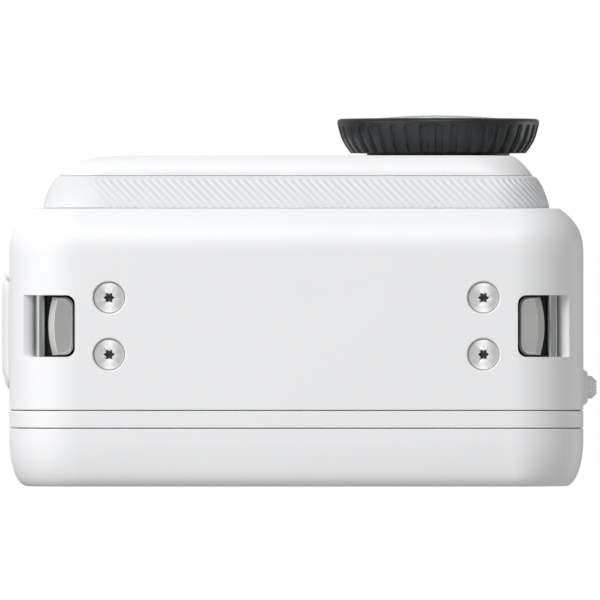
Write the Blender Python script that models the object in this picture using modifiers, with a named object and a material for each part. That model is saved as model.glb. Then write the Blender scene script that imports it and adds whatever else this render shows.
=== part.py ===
"""White action camera with a flip-up rear screen, a ribbed lens guard and a claw mount in its base.

Metres, +Z up, lens towards -Y. The origin is the centre of the flat base, between the two claw slots.
"""

import math

import bmesh
import bpy
from mathutils import Matrix, Vector

MM = 0.001


def mm(*values):
    return Vector(values) * MM


# Driving dimensions: the body, seen from the front (X, Z) and from below (X, Y).
HALF_WIDTH = 34.46 * MM
HEIGHT = 50.4 * MM
CORNER = 8.5 * MM
WALL = 2.0 * MM
GAP = 0.3 * MM
HOUSING_FRONT = -14.12 * MM
HOUSING_REAR = 10.12 * MM
COVER_REAR = 12.24 * MM
SCREEN_REAR = 19.22 * MM
FRONT_EDGE_INSET = 2.92 * MM
FRONT_EDGE_DEPTH = 5.8 * MM
FRONT_EDGE_POWER = 2.9
REAR_EDGE_INSET = 2.13 * MM
REAR_EDGE_DEPTH = 5.6 * MM
CORNER_BLOCK_X = 24.5 * MM
CORNER_BLOCK_TOP = 9.0 * MM
MID_HEIGHT = HEIGHT / 2

# The raised front: a grooved trim and a plain fascia, each a stack of (depth, half width) sections.
TRIM_SECTIONS = [(14.42, 30.38), (15.5, 30.06), (16.7, 29.6), (17.45, 29.15), (17.9, 28.6)]
TRIM_CORNER = 6.8 * MM
TRIM_OPENING = mm(26.4, 0, 17.0)
FASCIA_SECTIONS = [(18.2, 28.36), (19.2, 27.8), (20.1, 26.9), (20.48, 26.2)]
FASCIA_CORNER = 5.4 * MM
WINDOW = (mm(-24, -20.3, 14), mm(1, -19.5, 38))
DISPLAY = (mm(-23, -19.2, 15), mm(0, -17.6, 37))
STATUS_AT = mm(22.5, 0, 12.5)
MESH_AT = mm(14.0, 0, 12.5)

# Lens: radii and forward distances (out of the camera, along -Y).
LENS_AXIS = mm(17.2, 0, 32.0)
COLLAR_RADIUS = 8.64
GUARD_PROFILE = [(11.3, 25.08), (11.74, 25.08), (12.19, 24.68), (12.13, 24.19), (11.8, 22.85),
                 (11.36, 21.92), (10.69, 20.92)]
GUARD_BORE = 9.0
GLASS_RADIUS = 8.7

# Claw slots in the base, their catches and pins, and the base screws.
SLOT_INNER = 26.5
SLOT_OUTER = 32.9
SLOT_HALF_DEPTH = 3.7
SLOT_TOP = 7.2
CATCH_INNER = 26.85
CATCH_OUTER = 29.2
CATCH_BULGE = 0.5
CATCH_HALF_DEPTH = 3.35
CATCH_LEVELS = (0.9, 3.1)
PIN_X = 30.62
PIN_Z = 3.0
PIN_RADIUS = 0.62
BASE_SCREW_X = 22.4
BASE_SCREW_Y = 3.4
HEAD_RADIUS = 1.65
SHANK_RADIUS = 0.9
STAR_TIP = 0.64
STAR_ROOT = 0.44

# Screen hinge along X at the top rear edge.
HINGE_AT = Vector((0, COVER_REAR, HEIGHT))
KNUCKLE_RADIUS = 1.8
CENTRE_KNUCKLE = 12.0
OUTER_KNUCKLE = 20.0
HINGE_PIN_RADIUS = 0.7
PIN_CLEARANCE = 0.08

# Cover screws at the corners of the rear cover.
COVER_SCREW_X = 29.3
COVER_SCREW_LEVELS = (5.1, 45.3)

# Battery door on the left side, hinged on a pin along Z at its front edge.
DOOR_AXIS = mm(-34.45, -6.28, 26)
DOOR_KNUCKLE = 0.68
DOOR_PIN = 0.3
DOOR_PLATE = (mm(-35.14, -6.28, 12), mm(-34.16, 7.56, 40))
DOOR_PANEL = (mm(-35.39, -5.2, 13.5), mm(-35.0, 5.8, 38.5))
DOOR_PLUG = (mm(-34.3, -4.3, 14.9), mm(-32.6, 5.1, 37.1))
DOOR_RECESS = (mm(-37, -6.6, 11.7), mm(-33.3, 7.86, 40.3))
DOOR_OPENING = (mm(-37, -4.6, 14.6), mm(-31, 5.4, 37.4))
SEAL_OUTER = (mm(-34.0, -5.15, 13.9), mm(-33.5, 6.0, 38.1))
SEAL_INNER = (mm(-35, -4.55, 14.65), mm(-32, 5.35, 37.35))
LATCH = (mm(-35.63, -1.4, 27.3), mm(-35.05, 2.4, 33.7))
LATCH_TRACK = (mm(-37, -1.7, 24.0), mm(-34.9, 2.7, 34.0))

# Buttons.
POWER_AT = mm(34.46, 7.46, 34)
SHUTTER_AT = mm(-18, -3, 50.4)

# Inner pieces, each a box between two corners.
BASE_BRACKET = (mm(-24, -6, 2.3), mm(24, 5, 3.5))
BASE_MAGNETS = {"left": (mm(-16, -4, 3.8), mm(-8, 4, 5.8)), "right": (mm(8, -4, 3.8), mm(16, 4, 5.8))}
MAIN_BOARD = (mm(-24, 6.8, 10), mm(28.7, 7.8, 40))
HEAT_SPREADER = (mm(-22, 8.1, 12), mm(24, 8.9, 42))
PROCESSOR_CAN = (mm(-14, 5.6, 14), mm(6, 6.5, 34))
BATTERY = (mm(-31.5, -4.4, 18.8), mm(7, 3.2, 37))
TRAY_FLOOR = (mm(-24, -4.4, 16.8), mm(9, 3.2, 18.4))
TRAY_END = (mm(7.4, -4.4, 17.0), mm(9, 3.2, 37))
CARD_SLOT = (mm(-31, 3.5, 22), mm(-17, 5.3, 34))
CARD_POCKET = (mm(-33, 3.8, 22.9), mm(-18.7, 5.0, 33.1))
MEMORY_CARD = (mm(-31.4, 4.05, 23.2), mm(-19, 4.75, 32.8))
USB_SOCKET = (mm(-32.2, -4.3, 14.8), mm(-25, 4.7, 18.2))
USB_MOUTH = (mm(-33, -3.9, 15.2), mm(-26.5, 4.3, 17.8))
SPEAKER = (mm(-23, -11.6, 4), mm(-9, -7.4, 12))
IMAGE_SENSOR = (mm(12.7, -1.7, 28.4), mm(21.7, -0.9, 35.6))
SENSOR_BOARD = (mm(9.2, -0.5, 24), mm(25.2, 0.5, 40))
SCREEN_FLEX = (mm(-5, 9.25, 36), mm(5, 9.55, 47.5))
FLEX_TAB = (mm(-5, 9.3, 47.2), mm(5, 11.8, 47.5))
POWER_SWITCH = (mm(29.0, 6.2, 32), mm(30.8, 8.8, 36))
SHUTTER_SWITCH = (mm(-20, -5, 45.0), mm(-16, -1, 46.9))
SCREEN_BOARD = (mm(-24, 14.2, 8), mm(24, 15.0, 40))
SCREEN_PANEL = (mm(-29.5, 15.4, 5), mm(29.5, 17.4, 45))
SCREEN_GLASS = (mm(-31.5, 18.1, 2.9), mm(31.5, 19.1, 47.2))
SCREEN_CAVITY = (mm(-30.5, 13.9, 4), mm(30.5, 22, 46))
GLASS_SEAT = (mm(-31.8, 17.9, 2.6), mm(31.8, 22, 47.5))

ARC_STEPS = 6


def clear_scene():
    for obj in list(bpy.data.objects):
        bpy.data.objects.remove(obj, do_unlink=True)


def new_collection(name):
    collection = bpy.data.collections.new(name)
    bpy.context.scene.collection.children.link(collection)
    return collection


clear_scene()
PARTS = new_collection("action_camera")
CUTTERS = new_collection("cutters")
CUTTERS.hide_render = True
MATERIALS = {}


def finish(name, colour, roughness, metallic=0.0):
    material = bpy.data.materials.new(name)
    material.use_nodes = True
    shader = material.node_tree.nodes["Principled BSDF"]
    shader.inputs["Base Color"].default_value = (*colour, 1)
    shader.inputs["Roughness"].default_value = roughness
    shader.inputs["Metallic"].default_value = metallic
    MATERIALS[name] = material


finish("white_shell", (0.84, 0.84, 0.84), 0.45)
finish("trim_white", (0.80, 0.80, 0.80), 0.40)
finish("dark_rubber", (0.05, 0.05, 0.055), 0.6)
finish("black_plastic", (0.015, 0.015, 0.017), 0.4)
finish("guard_metal", (0.10, 0.10, 0.105), 0.35, 1.0)
finish("steel", (0.62, 0.62, 0.60), 0.3, 1.0)
finish("aluminium", (0.75, 0.76, 0.77), 0.35, 1.0)
finish("clear_glass", (0.55, 0.57, 0.6), 0.05)
finish("screen_black", (0.01, 0.01, 0.012), 0.12)
finish("board_green", (0.03, 0.16, 0.08), 0.5)
finish("battery_grey", (0.10, 0.10, 0.11), 0.5)
finish("flex_amber", (0.45, 0.22, 0.05), 0.45)
finish("magnet_nickel", (0.55, 0.55, 0.53), 0.25, 1.0)
finish("status_white", (0.75, 0.80, 0.85), 0.3)


def add_object(name, shape, place, material):
    """Makes an object from a bmesh. With no material it is a cutter."""
    mesh = bpy.data.meshes.new(name)
    shape.to_mesh(mesh)
    shape.free()
    obj = bpy.data.objects.new(name, mesh)
    obj.location = place
    if material:
        PARTS.objects.link(obj)
        mesh.materials.append(MATERIALS[material])
    else:
        CUTTERS.objects.link(obj)
        obj.hide_render = True
        obj.display_type = "WIRE"
    return obj


def block(name, corners, material=None, round_along=None, radius=0.0, segments=4):
    """A box between two corners. The four edges along one axis can be rounded."""
    low, high = corners
    size = high - low
    shape = bmesh.new()
    bmesh.ops.create_cube(shape, size=1.0)
    bmesh.ops.scale(shape, vec=size, verts=shape.verts)
    if round_along:
        axis = "XYZ".index(round_along)
        edges = [e for e in shape.edges if abs(e.verts[0].co[axis] - e.verts[1].co[axis]) > size[axis] / 2]
        bmesh.ops.bevel(shape, geom=edges, offset=radius, offset_type="OFFSET", segments=segments,
                        profile=0.5, affect="EDGES")
    return add_object(name, shape, (low + high) / 2, material)


TURN = {"X": Matrix.Rotation(math.pi / 2, 4, "Y"), "Y": Matrix.Rotation(math.pi / 2, 4, "X"), "Z": Matrix()}


def rod(name, centre, axis, radius, length, material=None, segments=16):
    """A cylinder about its centre. The radius and the length are in millimetres."""
    shape = bmesh.new()
    bmesh.ops.create_cone(shape, cap_ends=True, segments=segments, radius1=radius * MM,
                          radius2=radius * MM, depth=length * MM, matrix=TURN[axis])
    return add_object(name, shape, centre, material)


def turned(name, profile, place, material=None, steps=24, towards_front=True):
    """A profile of (radius, distance) in millimetres, turned about -Y, or about +Z if it faces up.

    It runs down the outer side. A profile that starts on the axis is solid, and any other is a closed ring.
    """
    mesh = bpy.data.meshes.new(name)
    points = [(radius * MM, 0, distance * MM) for radius, distance in profile]
    count = len(points)
    edges = [(i, i + 1) for i in range(count - 1)]
    if profile[0][0] > 0:
        edges.append((count - 1, 0))
    mesh.from_pydata(points, edges, [])
    obj = bpy.data.objects.new(name, mesh)
    obj.location = place
    if towards_front:
        obj.rotation_euler.x = math.pi / 2
    screw = obj.modifiers.new("turn", "SCREW")
    screw.steps = steps
    screw.render_steps = steps
    screw.use_merge_vertices = True
    screw.merge_threshold = 0.00001
    if material:
        PARTS.objects.link(obj)
        mesh.materials.append(MATERIALS[material])
    else:
        CUTTERS.objects.link(obj)
        obj.hide_render = True
        obj.display_type = "WIRE"
    return obj


def outline(half_width, half_height, radius):
    """A rounded rectangle in X and Z, as points in order."""
    points = []
    for corner in range(4):
        middle = math.pi / 2 * corner
        sign_x = 1 if corner in (0, 3) else -1
        sign_z = 1 if corner in (0, 1) else -1
        for step in range(ARC_STEPS + 1):
            angle = middle + math.pi / 2 * step / ARC_STEPS
            x = sign_x * (half_width - radius) + radius * math.cos(angle)
            z = sign_z * (half_height - radius) + radius * math.sin(angle)
            points.append((x, z))
    return points


def loft(name, sections, centre_z, material=None):
    """Skins rounded rectangles (y, half width, half height, corner radius) one after another."""
    shape = bmesh.new()
    rings = []
    for y, half_width, half_height, radius in sections:
        ring = [shape.verts.new((x, y, z)) for x, z in outline(half_width, half_height, radius)]
        rings.append(ring)
    count = len(rings[0])
    for near, far in zip(rings, rings[1:]):
        for i in range(count):
            j = (i + 1) % count
            shape.faces.new((near[i], near[j], far[j], far[i]))
    shape.faces.new(rings[0])
    shape.faces.new(rings[-1])
    bmesh.ops.recalc_face_normals(shape, faces=shape.faces)
    return add_object(name, shape, (0, 0, centre_z), material)


def boolean(obj, other, operation):
    modifier = obj.modifiers.new(operation.lower() + " " + other.name, "BOOLEAN")
    modifier.operation = operation
    modifier.solver = "EXACT"
    modifier.object = other
    return obj


def cut(obj, *others):
    for other in others:
        boolean(obj, other, "DIFFERENCE")


def fuse(obj, *others):
    for other in others:
        boolean(obj, other, "UNION")


def smooth(obj, degrees=35):
    obj.data.shade_smooth()
    obj.data.set_sharp_from_angle(angle=math.radians(degrees))


def front_inset(step, steps):
    """(distance behind the front plane, inset) along the long soft front edge."""
    along = step / steps
    return along * FRONT_EDGE_DEPTH, FRONT_EDGE_INSET * (1 - along) ** FRONT_EDGE_POWER


def rear_inset(step, steps):
    """(distance before the rear plane, inset) along the elliptical rear edge."""
    angle = math.pi / 2 * step / steps
    return REAR_EDGE_DEPTH * (1 - math.cos(angle)), REAR_EDGE_INSET * (1 - math.sin(angle))


def body_section(y, inset, trim_top=0.0):
    return y, HALF_WIDTH - inset, MID_HEIGHT - trim_top / 2 - inset, CORNER - inset


def base_screw_places():
    number = 0
    for side in (-1, 1):
        for row in (-1, 1):
            number += 1
            yield number, mm(side * BASE_SCREW_X, row * BASE_SCREW_Y, 0)


def cover_screw_places():
    number = 0
    for side in (-1, 1):
        for level in COVER_SCREW_LEVELS:
            number += 1
            yield number, mm(side * COVER_SCREW_X, 0, level)


# ---- Fixed shells -------------------------------------------------------------------------------


def make_front_housing():
    steps = 5
    sections = []
    for step in range(steps + 1):
        behind, inset = front_inset(step, steps)
        sections.append(body_section(HOUSING_FRONT + behind, inset))
    sections.append(body_section(HOUSING_REAR - GAP / 2, 0))
    housing = loft("front_housing", sections, MID_HEIGHT, "white_shell")
    inner_half = HALF_WIDTH - WALL
    inner_height = (HEIGHT - WALL - CORNER_BLOCK_TOP) / 2
    inner_front = HOUSING_FRONT + WALL
    far = HOUSING_REAR + WALL
    inner = [(y, inner_half, inner_height, CORNER - WALL) for y in (inner_front, far)]
    cut(housing, loft("housing_cavity", inner, CORNER_BLOCK_TOP + inner_height))
    lower = (Vector((-CORNER_BLOCK_X, inner_front, WALL)), Vector((CORNER_BLOCK_X, far, HEIGHT / 2)))
    cut(housing, block("housing_lower_cavity", lower))
    boss_from = 2.0
    boss_to = HOUSING_REAR / MM - 0.5
    upper = COVER_SCREW_LEVELS[1]
    for side in (-1, 1):
        middle = mm(side * COVER_SCREW_X, (boss_from + boss_to) / 2, upper)
        fuse(housing, rod(f"screw_boss_{side}", middle, "Y", 2.4, boss_to - boss_from))
    cut_lens_and_button_holes(housing)
    cut_base(housing)
    cut_door_seat(housing)
    cut_seal_groove(housing)
    return housing


def cut_lens_and_button_holes(housing):
    cut(housing, rod("lens_hole", LENS_AXIS + Vector((0, HOUSING_FRONT, 0)), "Y", 9.0, 8, segments=32))
    cut(housing, rod("shutter_hole", SHUTTER_AT, "Z", 6.5, 8, segments=32))
    cut(housing, pill("power_hole", POWER_AT, 2.1, 5.0, (-4, 3)))
    screw_reach = 6.0
    for number, place in cover_screw_places():
        middle = place + Vector((0, HOUSING_REAR - screw_reach / 2 * MM, 0))
        cut(housing, rod(f"cover_screw_bore_{number}", middle, "Y", SHANK_RADIUS + 0.3, screw_reach + 1))


def cut_base(housing):
    for side in (-1, 1):
        x_low, x_high = sorted((side * SLOT_INNER, side * SLOT_OUTER))
        corners = (mm(x_low, -SLOT_HALF_DEPTH, -2), mm(x_high, SLOT_HALF_DEPTH, SLOT_TOP))
        cut(housing, block(f"slot_pocket_{side}", corners))
        bore_length = 11.0
        cut(housing, rod(f"pin_bore_{side}", mm(side * PIN_X, 0, PIN_Z), "Y", PIN_RADIUS + 0.2, bore_length))
    for number, place in base_screw_places():
        cut(housing, rod(f"screw_seat_{number}", place, "Z", HEAD_RADIUS + 0.3, 3.2, segments=24))
        cut(housing, rod(f"screw_bore_{number}", place, "Z", SHANK_RADIUS + 0.3, 8))


def cut_door_seat(housing):
    cut(housing, block("door_recess", DOOR_RECESS))
    cut(housing, block("door_opening", DOOR_OPENING))
    door_length = (DOOR_PLATE[1].z - DOOR_PLATE[0].z) / MM
    cut(housing, rod("door_knuckle_room", DOOR_AXIS, "Z", DOOR_KNUCKLE + 0.3, door_length - 3.4, segments=12))
    for end in (-1, 1):
        place = DOOR_AXIS + mm(0, 0, end * (door_length / 2 - 0.85))
        fuse(housing, rod(f"door_ear_{end}", place, "Z", DOOR_KNUCKLE, 1.7, segments=12))
    pin_bore = DOOR_PIN + PIN_CLEARANCE
    cut(housing, rod("door_pin_bore", DOOR_AXIS, "Z", pin_bore, door_length - 1.2, segments=12))


def cut_seal_groove(housing):
    """A narrow groove round the rear rim for the housing seal."""
    groove = seal_ring("seal_groove", 0.1 * MM, HOUSING_REAR - 0.9 * MM, HOUSING_REAR + 1 * MM, None)
    cut(housing, groove)


def seal_ring(name, grow, near, far, material):
    """A ring that runs round the middle of the housing's rear wall."""
    middle = WALL / 2
    half = 0.3 * MM + grow
    outer = [body_section(y, middle - half) for y in (near, far)]
    inner = [body_section(y, middle + half) for y in (near - 0.002, far + 0.002)]
    ring = loft(name, outer, MID_HEIGHT, material)
    cut(ring, loft(name + "_inside", inner, MID_HEIGHT))
    return ring


def make_rear_cover():
    near = HOUSING_REAR + GAP / 2
    far = COVER_REAR - GAP / 2
    cover = loft("rear_cover", [body_section(near, 0), body_section(far, 0)], MID_HEIGHT, "white_shell")
    length = OUTER_KNUCKLE - CENTRE_KNUCKLE - 0.3
    for side in (-1, 1):
        place = HINGE_AT + mm(side * (OUTER_KNUCKLE - length / 2), 0, 0)
        fuse(cover, rod(f"outer_knuckle_{side}", place, "X", KNUCKLE_RADIUS, length, segments=20))
    room = (CENTRE_KNUCKLE + 0.3) * 2
    cut(cover, rod("centre_knuckle_room", HINGE_AT, "X", KNUCKLE_RADIUS + 0.3, room, segments=20))
    cut(cover, *hinge_bores("cover"))
    for number, place in cover_screw_places():
        seat = place + Vector((0, far, 0))
        cut(cover, rod(f"cover_screw_seat_{number}", seat, "Y", HEAD_RADIUS + 0.3, 2.0))
        cut(cover, rod(f"cover_screw_hole_{number}", seat, "Y", SHANK_RADIUS + 0.3, 8))
    cut(cover, block("flex_slot", (FLEX_TAB[0] - mm(0.3, 2, 0.3), FLEX_TAB[1] + mm(0.3, 4, 0.3))))
    return cover


def hinge_bores(owner):
    bores = []
    low = CENTRE_KNUCKLE - 2.3
    high = OUTER_KNUCKLE + 1.0
    for side in (-1, 1):
        place = HINGE_AT + mm(side * (low + high) / 2, 0, 0)
        radius = HINGE_PIN_RADIUS + PIN_CLEARANCE
        bores.append(rod(f"{owner}_hinge_bore_{side}", place, "X", radius, high - low, segments=12))
    return bores


def front_sections(sections, corner):
    """Sections of the raised front, stepped in equally at the sides, the top and the base."""
    made = []
    for depth, half_width in sections:
        inset = HALF_WIDTH - half_width * MM
        made.append((-depth * MM, half_width * MM, MID_HEIGHT - inset, corner))
    return made


def make_front():
    trim = loft("grooved_trim", front_sections(TRIM_SECTIONS, TRIM_CORNER), MID_HEIGHT, "trim_white")
    opening = [(y * MM, TRIM_OPENING.x, TRIM_OPENING.z, 4 * MM) for y in (-22, -12)]
    cut(trim, loft("trim_opening", opening, MID_HEIGHT))
    fascia = loft("front_fascia", front_sections(FASCIA_SECTIONS, FASCIA_CORNER), MID_HEIGHT, "white_shell")
    front = Vector((0, FASCIA_SECTIONS[-1][0] * -MM, 0))
    cut(fascia, rod("fascia_lens_hole", LENS_AXIS + front, "Y", COLLAR_RADIUS + 0.3, 12, segments=32))
    cut(fascia, rod("mesh_hole", MESH_AT + front, "Y", 2.1, 12))
    cut(fascia, rod("status_hole", STATUS_AT + front, "Y", 1.0, 12, segments=12))
    room = (WINDOW[0] - mm(0.3, 4, 0.3), WINDOW[1] + mm(0.3, 6, 0.3))
    cut(fascia, block("window_opening", room))
    block("display_window", WINDOW, "screen_black", "Y", 1.5 * MM)
    block("front_display", DISPLAY, "screen_black")
    turned("wind_mesh", [(0, 20.4), (1.8, 20.4), (1.8, 19.8), (0, 19.8)], MESH_AT, "dark_rubber", 16)
    turned("microphone", [(0, 19.5), (1.6, 19.5), (1.6, 17.6), (0, 17.6)], MESH_AT, "steel", 16)
    turned("status_light", [(0, 20.4), (0.7, 20.4), (0.7, 18.6), (0, 18.6)], STATUS_AT, "status_white", 12)


# ---- Lens and its guard -------------------------------------------------------------------------


def make_lens():
    neck = [(7.6, 23.4), (7.6, 20.6)]
    flange = [(COLLAR_RADIUS, 20.6), (COLLAR_RADIUS, 14.6)]
    collar = neck + flange + [(6.9, 14.6), (6.9, 23.4)]
    turned("lens_collar", collar, LENS_AXIS, "black_plastic", 32)
    turned("lens_barrel", [(6.6, 22.0), (6.6, 2.0), (5.9, 2.0), (5.9, 22.0)], LENS_AXIS, "black_plastic")
    dome = [(0, 23.3), (3.3, 23.15), (5.4, 22.8), (6.4, 22.5), (6.4, 22.2), (0, 22.2)]
    turned("front_lens", dome, LENS_AXIS, "clear_glass")
    turned("rear_lens_group", [(0, 13), (5.5, 12), (5.5, 5), (0, 4)], LENS_AXIS, "clear_glass", 20)


def make_guard():
    """The guard twists on its seal, and the seal carries both off the lens along -Y."""
    slide = empty("guard_slide_axis", LENS_AXIS + mm(0, -21.0, 0))
    twist = empty("guard_twist_axis", LENS_AXIS + mm(0, -22.0, 0))
    attach(twist, slide)
    seal_profile = [(8.7, 22.2), (8.7, 20.95), (7.9, 20.95), (7.9, 22.2)]
    seal = turned("guard_seal", seal_profile, LENS_AXIS, "dark_rubber", 32)
    bore = [(GUARD_BORE, GUARD_PROFILE[-1][1]), (GUARD_BORE, GUARD_PROFILE[0][1])]
    ring = turned("guard_ring", GUARD_PROFILE + bore, LENS_AXIS, "guard_metal", 40)
    top = [(0, 25.5), (4, 25.4), (8.2, 25.05), (GLASS_RADIUS, 24.9), (GLASS_RADIUS, 23.9), (0, 23.9)]
    glass = turned("guard_glass", top, LENS_AXIS, "clear_glass", 32)
    attach(seal, slide)
    attach(ring, twist)
    attach(glass, twist)


# ---- Base: slots, catches, pins, screws ---------------------------------------------------------


def make_base():
    bracket = block("base_bracket", BASE_BRACKET, "steel")
    for number, place in base_screw_places():
        cut(bracket, rod(f"bracket_bore_{number}", place, "Z", SHANK_RADIUS + 0.3, 12))
        make_base_screw(number, place)
    for side, corners in BASE_MAGNETS.items():
        block(f"base_magnet_{side}", corners, "magnet_nickel", "Z", 1 * MM, 2)
    for side, name in ((-1, "left"), (1, "right")):
        make_catch(name, side)
        pin_length = 9.8
        rod(f"catch_pin_{name}", mm(side * PIN_X, 0, PIN_Z), "Y", PIN_RADIUS, pin_length, "steel")


def make_base_screw(number, place):
    head = (0.35, 1.35)
    end = 5.8
    profile = [(0, end), (SHANK_RADIUS, end), (SHANK_RADIUS, head[1]), (HEAD_RADIUS, head[1]),
               (HEAD_RADIUS, head[0]), (0, head[0])]
    screw = turned(f"base_screw_{number}", profile, place, "steel", 16, towards_front=False)
    cut(screw, star(f"screw_star_{number}", place + mm(0, 0, head[0]), 0.6))


def star(name, place, depth):
    """A six-pointed driver recess about +Z, with tips and roots in turn."""
    points = 12
    shape = bmesh.new()
    ring = []
    for i in range(points):
        radius = (STAR_TIP if i % 2 == 0 else STAR_ROOT) * MM
        angle = 2 * math.pi * i / points
        ring.append(shape.verts.new((radius * math.cos(angle), radius * math.sin(angle), -depth * MM)))
    face = shape.faces.new(ring)
    made = bmesh.ops.extrude_face_region(shape, geom=[face])
    top = [v for v in made["geom"] if isinstance(v, bmesh.types.BMVert)]
    bmesh.ops.translate(shape, vec=(0, 0, 2 * depth * MM), verts=top)
    bmesh.ops.recalc_face_normals(shape, faces=shape.faces)
    return add_object(name, shape, place, None)


def make_catch(name, side):
    """A D-shaped steel plate: straight towards the middle of the base, bowed towards the side."""
    curve = bpy.data.curves.new(f"catch_{name}", "CURVE")
    curve.dimensions = "2D"
    curve.fill_mode = "BOTH"
    thickness = (CATCH_LEVELS[1] - CATCH_LEVELS[0]) * MM
    curve.extrude = thickness / 2
    steps = 10
    points = []
    for step in range(steps + 1):
        along = 2 * step / steps - 1
        points.append((CATCH_OUTER + CATCH_BULGE * (1 - along * along), along * CATCH_HALF_DEPTH))
    points.append((CATCH_INNER + 0.8, CATCH_HALF_DEPTH))
    points.append((CATCH_INNER, CATCH_HALF_DEPTH - 0.8))
    points.append((CATCH_INNER, 0.8 - CATCH_HALF_DEPTH))
    points.append((CATCH_INNER + 0.8, -CATCH_HALF_DEPTH))
    spline = curve.splines.new("POLY")
    spline.points.add(len(points) - 1)
    for point, (x, y) in zip(spline.points, points):
        point.co = (side * x * MM, y * MM, 0, 1)
    spline.use_cyclic_u = True
    curve.materials.append(MATERIALS["steel"])
    obj = bpy.data.objects.new(f"catch_{name}", curve)
    obj.location.z = (CATCH_LEVELS[0] + CATCH_LEVELS[1]) / 2 * MM
    PARTS.objects.link(obj)


def make_cover_screws():
    for number, place in cover_screw_places():
        head = (-11.95, -11.25)
        end = -5.0
        profile = [(0, end), (SHANK_RADIUS, end), (SHANK_RADIUS, head[1]), (HEAD_RADIUS, head[1]),
                   (HEAD_RADIUS, head[0]), (0, head[0])]
        screw = turned(f"cover_screw_{number}", profile, place, "steel", 14)
        socket = rod(f"cover_screw_socket_{number}", place + mm(0, -head[0], 0), "Y", 0.75, 1.0, segments=6)
        cut(screw, socket)


# ---- Buttons ------------------------------------------------------------------------------------


def pill(name, centre, half_depth, half_height, span, material=None, segments=6):
    """A round-ended bar through the side wall: span is its (inner, outer) distance from the surface."""
    low = centre + mm(span[0], -half_depth, -half_height)
    high = centre + mm(span[1], half_depth, half_height)
    return block(name, (low, high), material, "X", half_depth * 0.99 * MM, segments)


def make_power_button():
    collar = pill("power_collar", POWER_AT, 1.95, 4.8, (-1.8, 0.3), "white_shell")
    fuse(collar, pill("collar_flange", POWER_AT, 2.25, 5.1, (0.1, 0.5)))
    cut(collar, pill("collar_bore", POWER_AT, 1.67, 4.4, (-4, 3)))
    axis = empty("power_slide_axis", POWER_AT)
    button = pill("power_button", POWER_AT, 1.37, 4.05, (-2.9, 2.0), "white_shell")
    attach(button, axis)
    block("power_switch", POWER_SWITCH, "black_plastic")


def make_shutter_button():
    place = Vector((SHUTTER_AT.x, SHUTTER_AT.y, 0))
    bezel = [(6.2, 51.0), (6.2, 48.6), (5.6, 48.6), (5.6, 51.0)]
    turned("shutter_bezel", bezel, place, "aluminium", 32, towards_front=False)
    cap = [(0, 51.8), (3, 51.85), (4.8, 51.9), (5.3, 51.6), (5.3, 48.9), (1.5, 48.9), (1.5, 47.6), (0, 47.6)]
    button = turned("shutter_button", cap, place, "dark_rubber", 32, towards_front=False)
    attach(button, empty("shutter_slide_axis", SHUTTER_AT))
    block("shutter_switch", SHUTTER_SWITCH, "black_plastic")


# ---- Flip screen --------------------------------------------------------------------------------


def make_flip_screen():
    axis = empty("screen_hinge_axis", HINGE_AT)
    near = COVER_REAR + GAP / 2
    steps = 6
    sections = [body_section(near, 0, GAP)]
    for step in range(steps + 1):
        before, inset = rear_inset(step, steps)
        sections.append(body_section(SCREEN_REAR - before, inset, GAP))
    sections = [sections[0]] + sorted(sections[1:])
    frame = loft("screen_frame", sections, MID_HEIGHT - GAP / 2, "white_shell")
    cut(frame, block("screen_cavity", SCREEN_CAVITY, None, "Y", 3 * MM, 3))
    cut(frame, block("glass_seat", GLASS_SEAT, None, "Y", 5.5 * MM, 6))
    knuckle_room = OUTER_KNUCKLE - CENTRE_KNUCKLE + 0.3
    for side in (-1, 1):
        place = HINGE_AT + mm(side * (CENTRE_KNUCKLE + knuckle_room / 2), 0, 0)
        room_radius = KNUCKLE_RADIUS + 0.3
        cut(frame, rod(f"outer_knuckle_room_{side}", place, "X", room_radius, knuckle_room, segments=20))
    fuse(frame, rod("centre_knuckle", HINGE_AT, "X", KNUCKLE_RADIUS, CENTRE_KNUCKLE * 2, segments=20))
    cut(frame, *hinge_bores("screen"))
    glass = block("screen_glass", SCREEN_GLASS, "screen_black", "Y", 5.2 * MM, 6)
    panel = block("screen_panel", SCREEN_PANEL, "screen_black")
    board = block("screen_board", SCREEN_BOARD, "board_green")
    for piece in (frame, glass, panel, board):
        attach(piece, axis)
    pin_from = CENTRE_KNUCKLE - 2.0
    pin_to = OUTER_KNUCKLE - 0.3
    for side, name in ((-1, "left"), (1, "right")):
        place = HINGE_AT + mm(side * (pin_from + pin_to) / 2, 0, 0)
        rod(f"hinge_pin_{name}", place, "X", HINGE_PIN_RADIUS, pin_to - pin_from, "steel", 12)


# ---- Battery door -------------------------------------------------------------------------------


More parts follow.
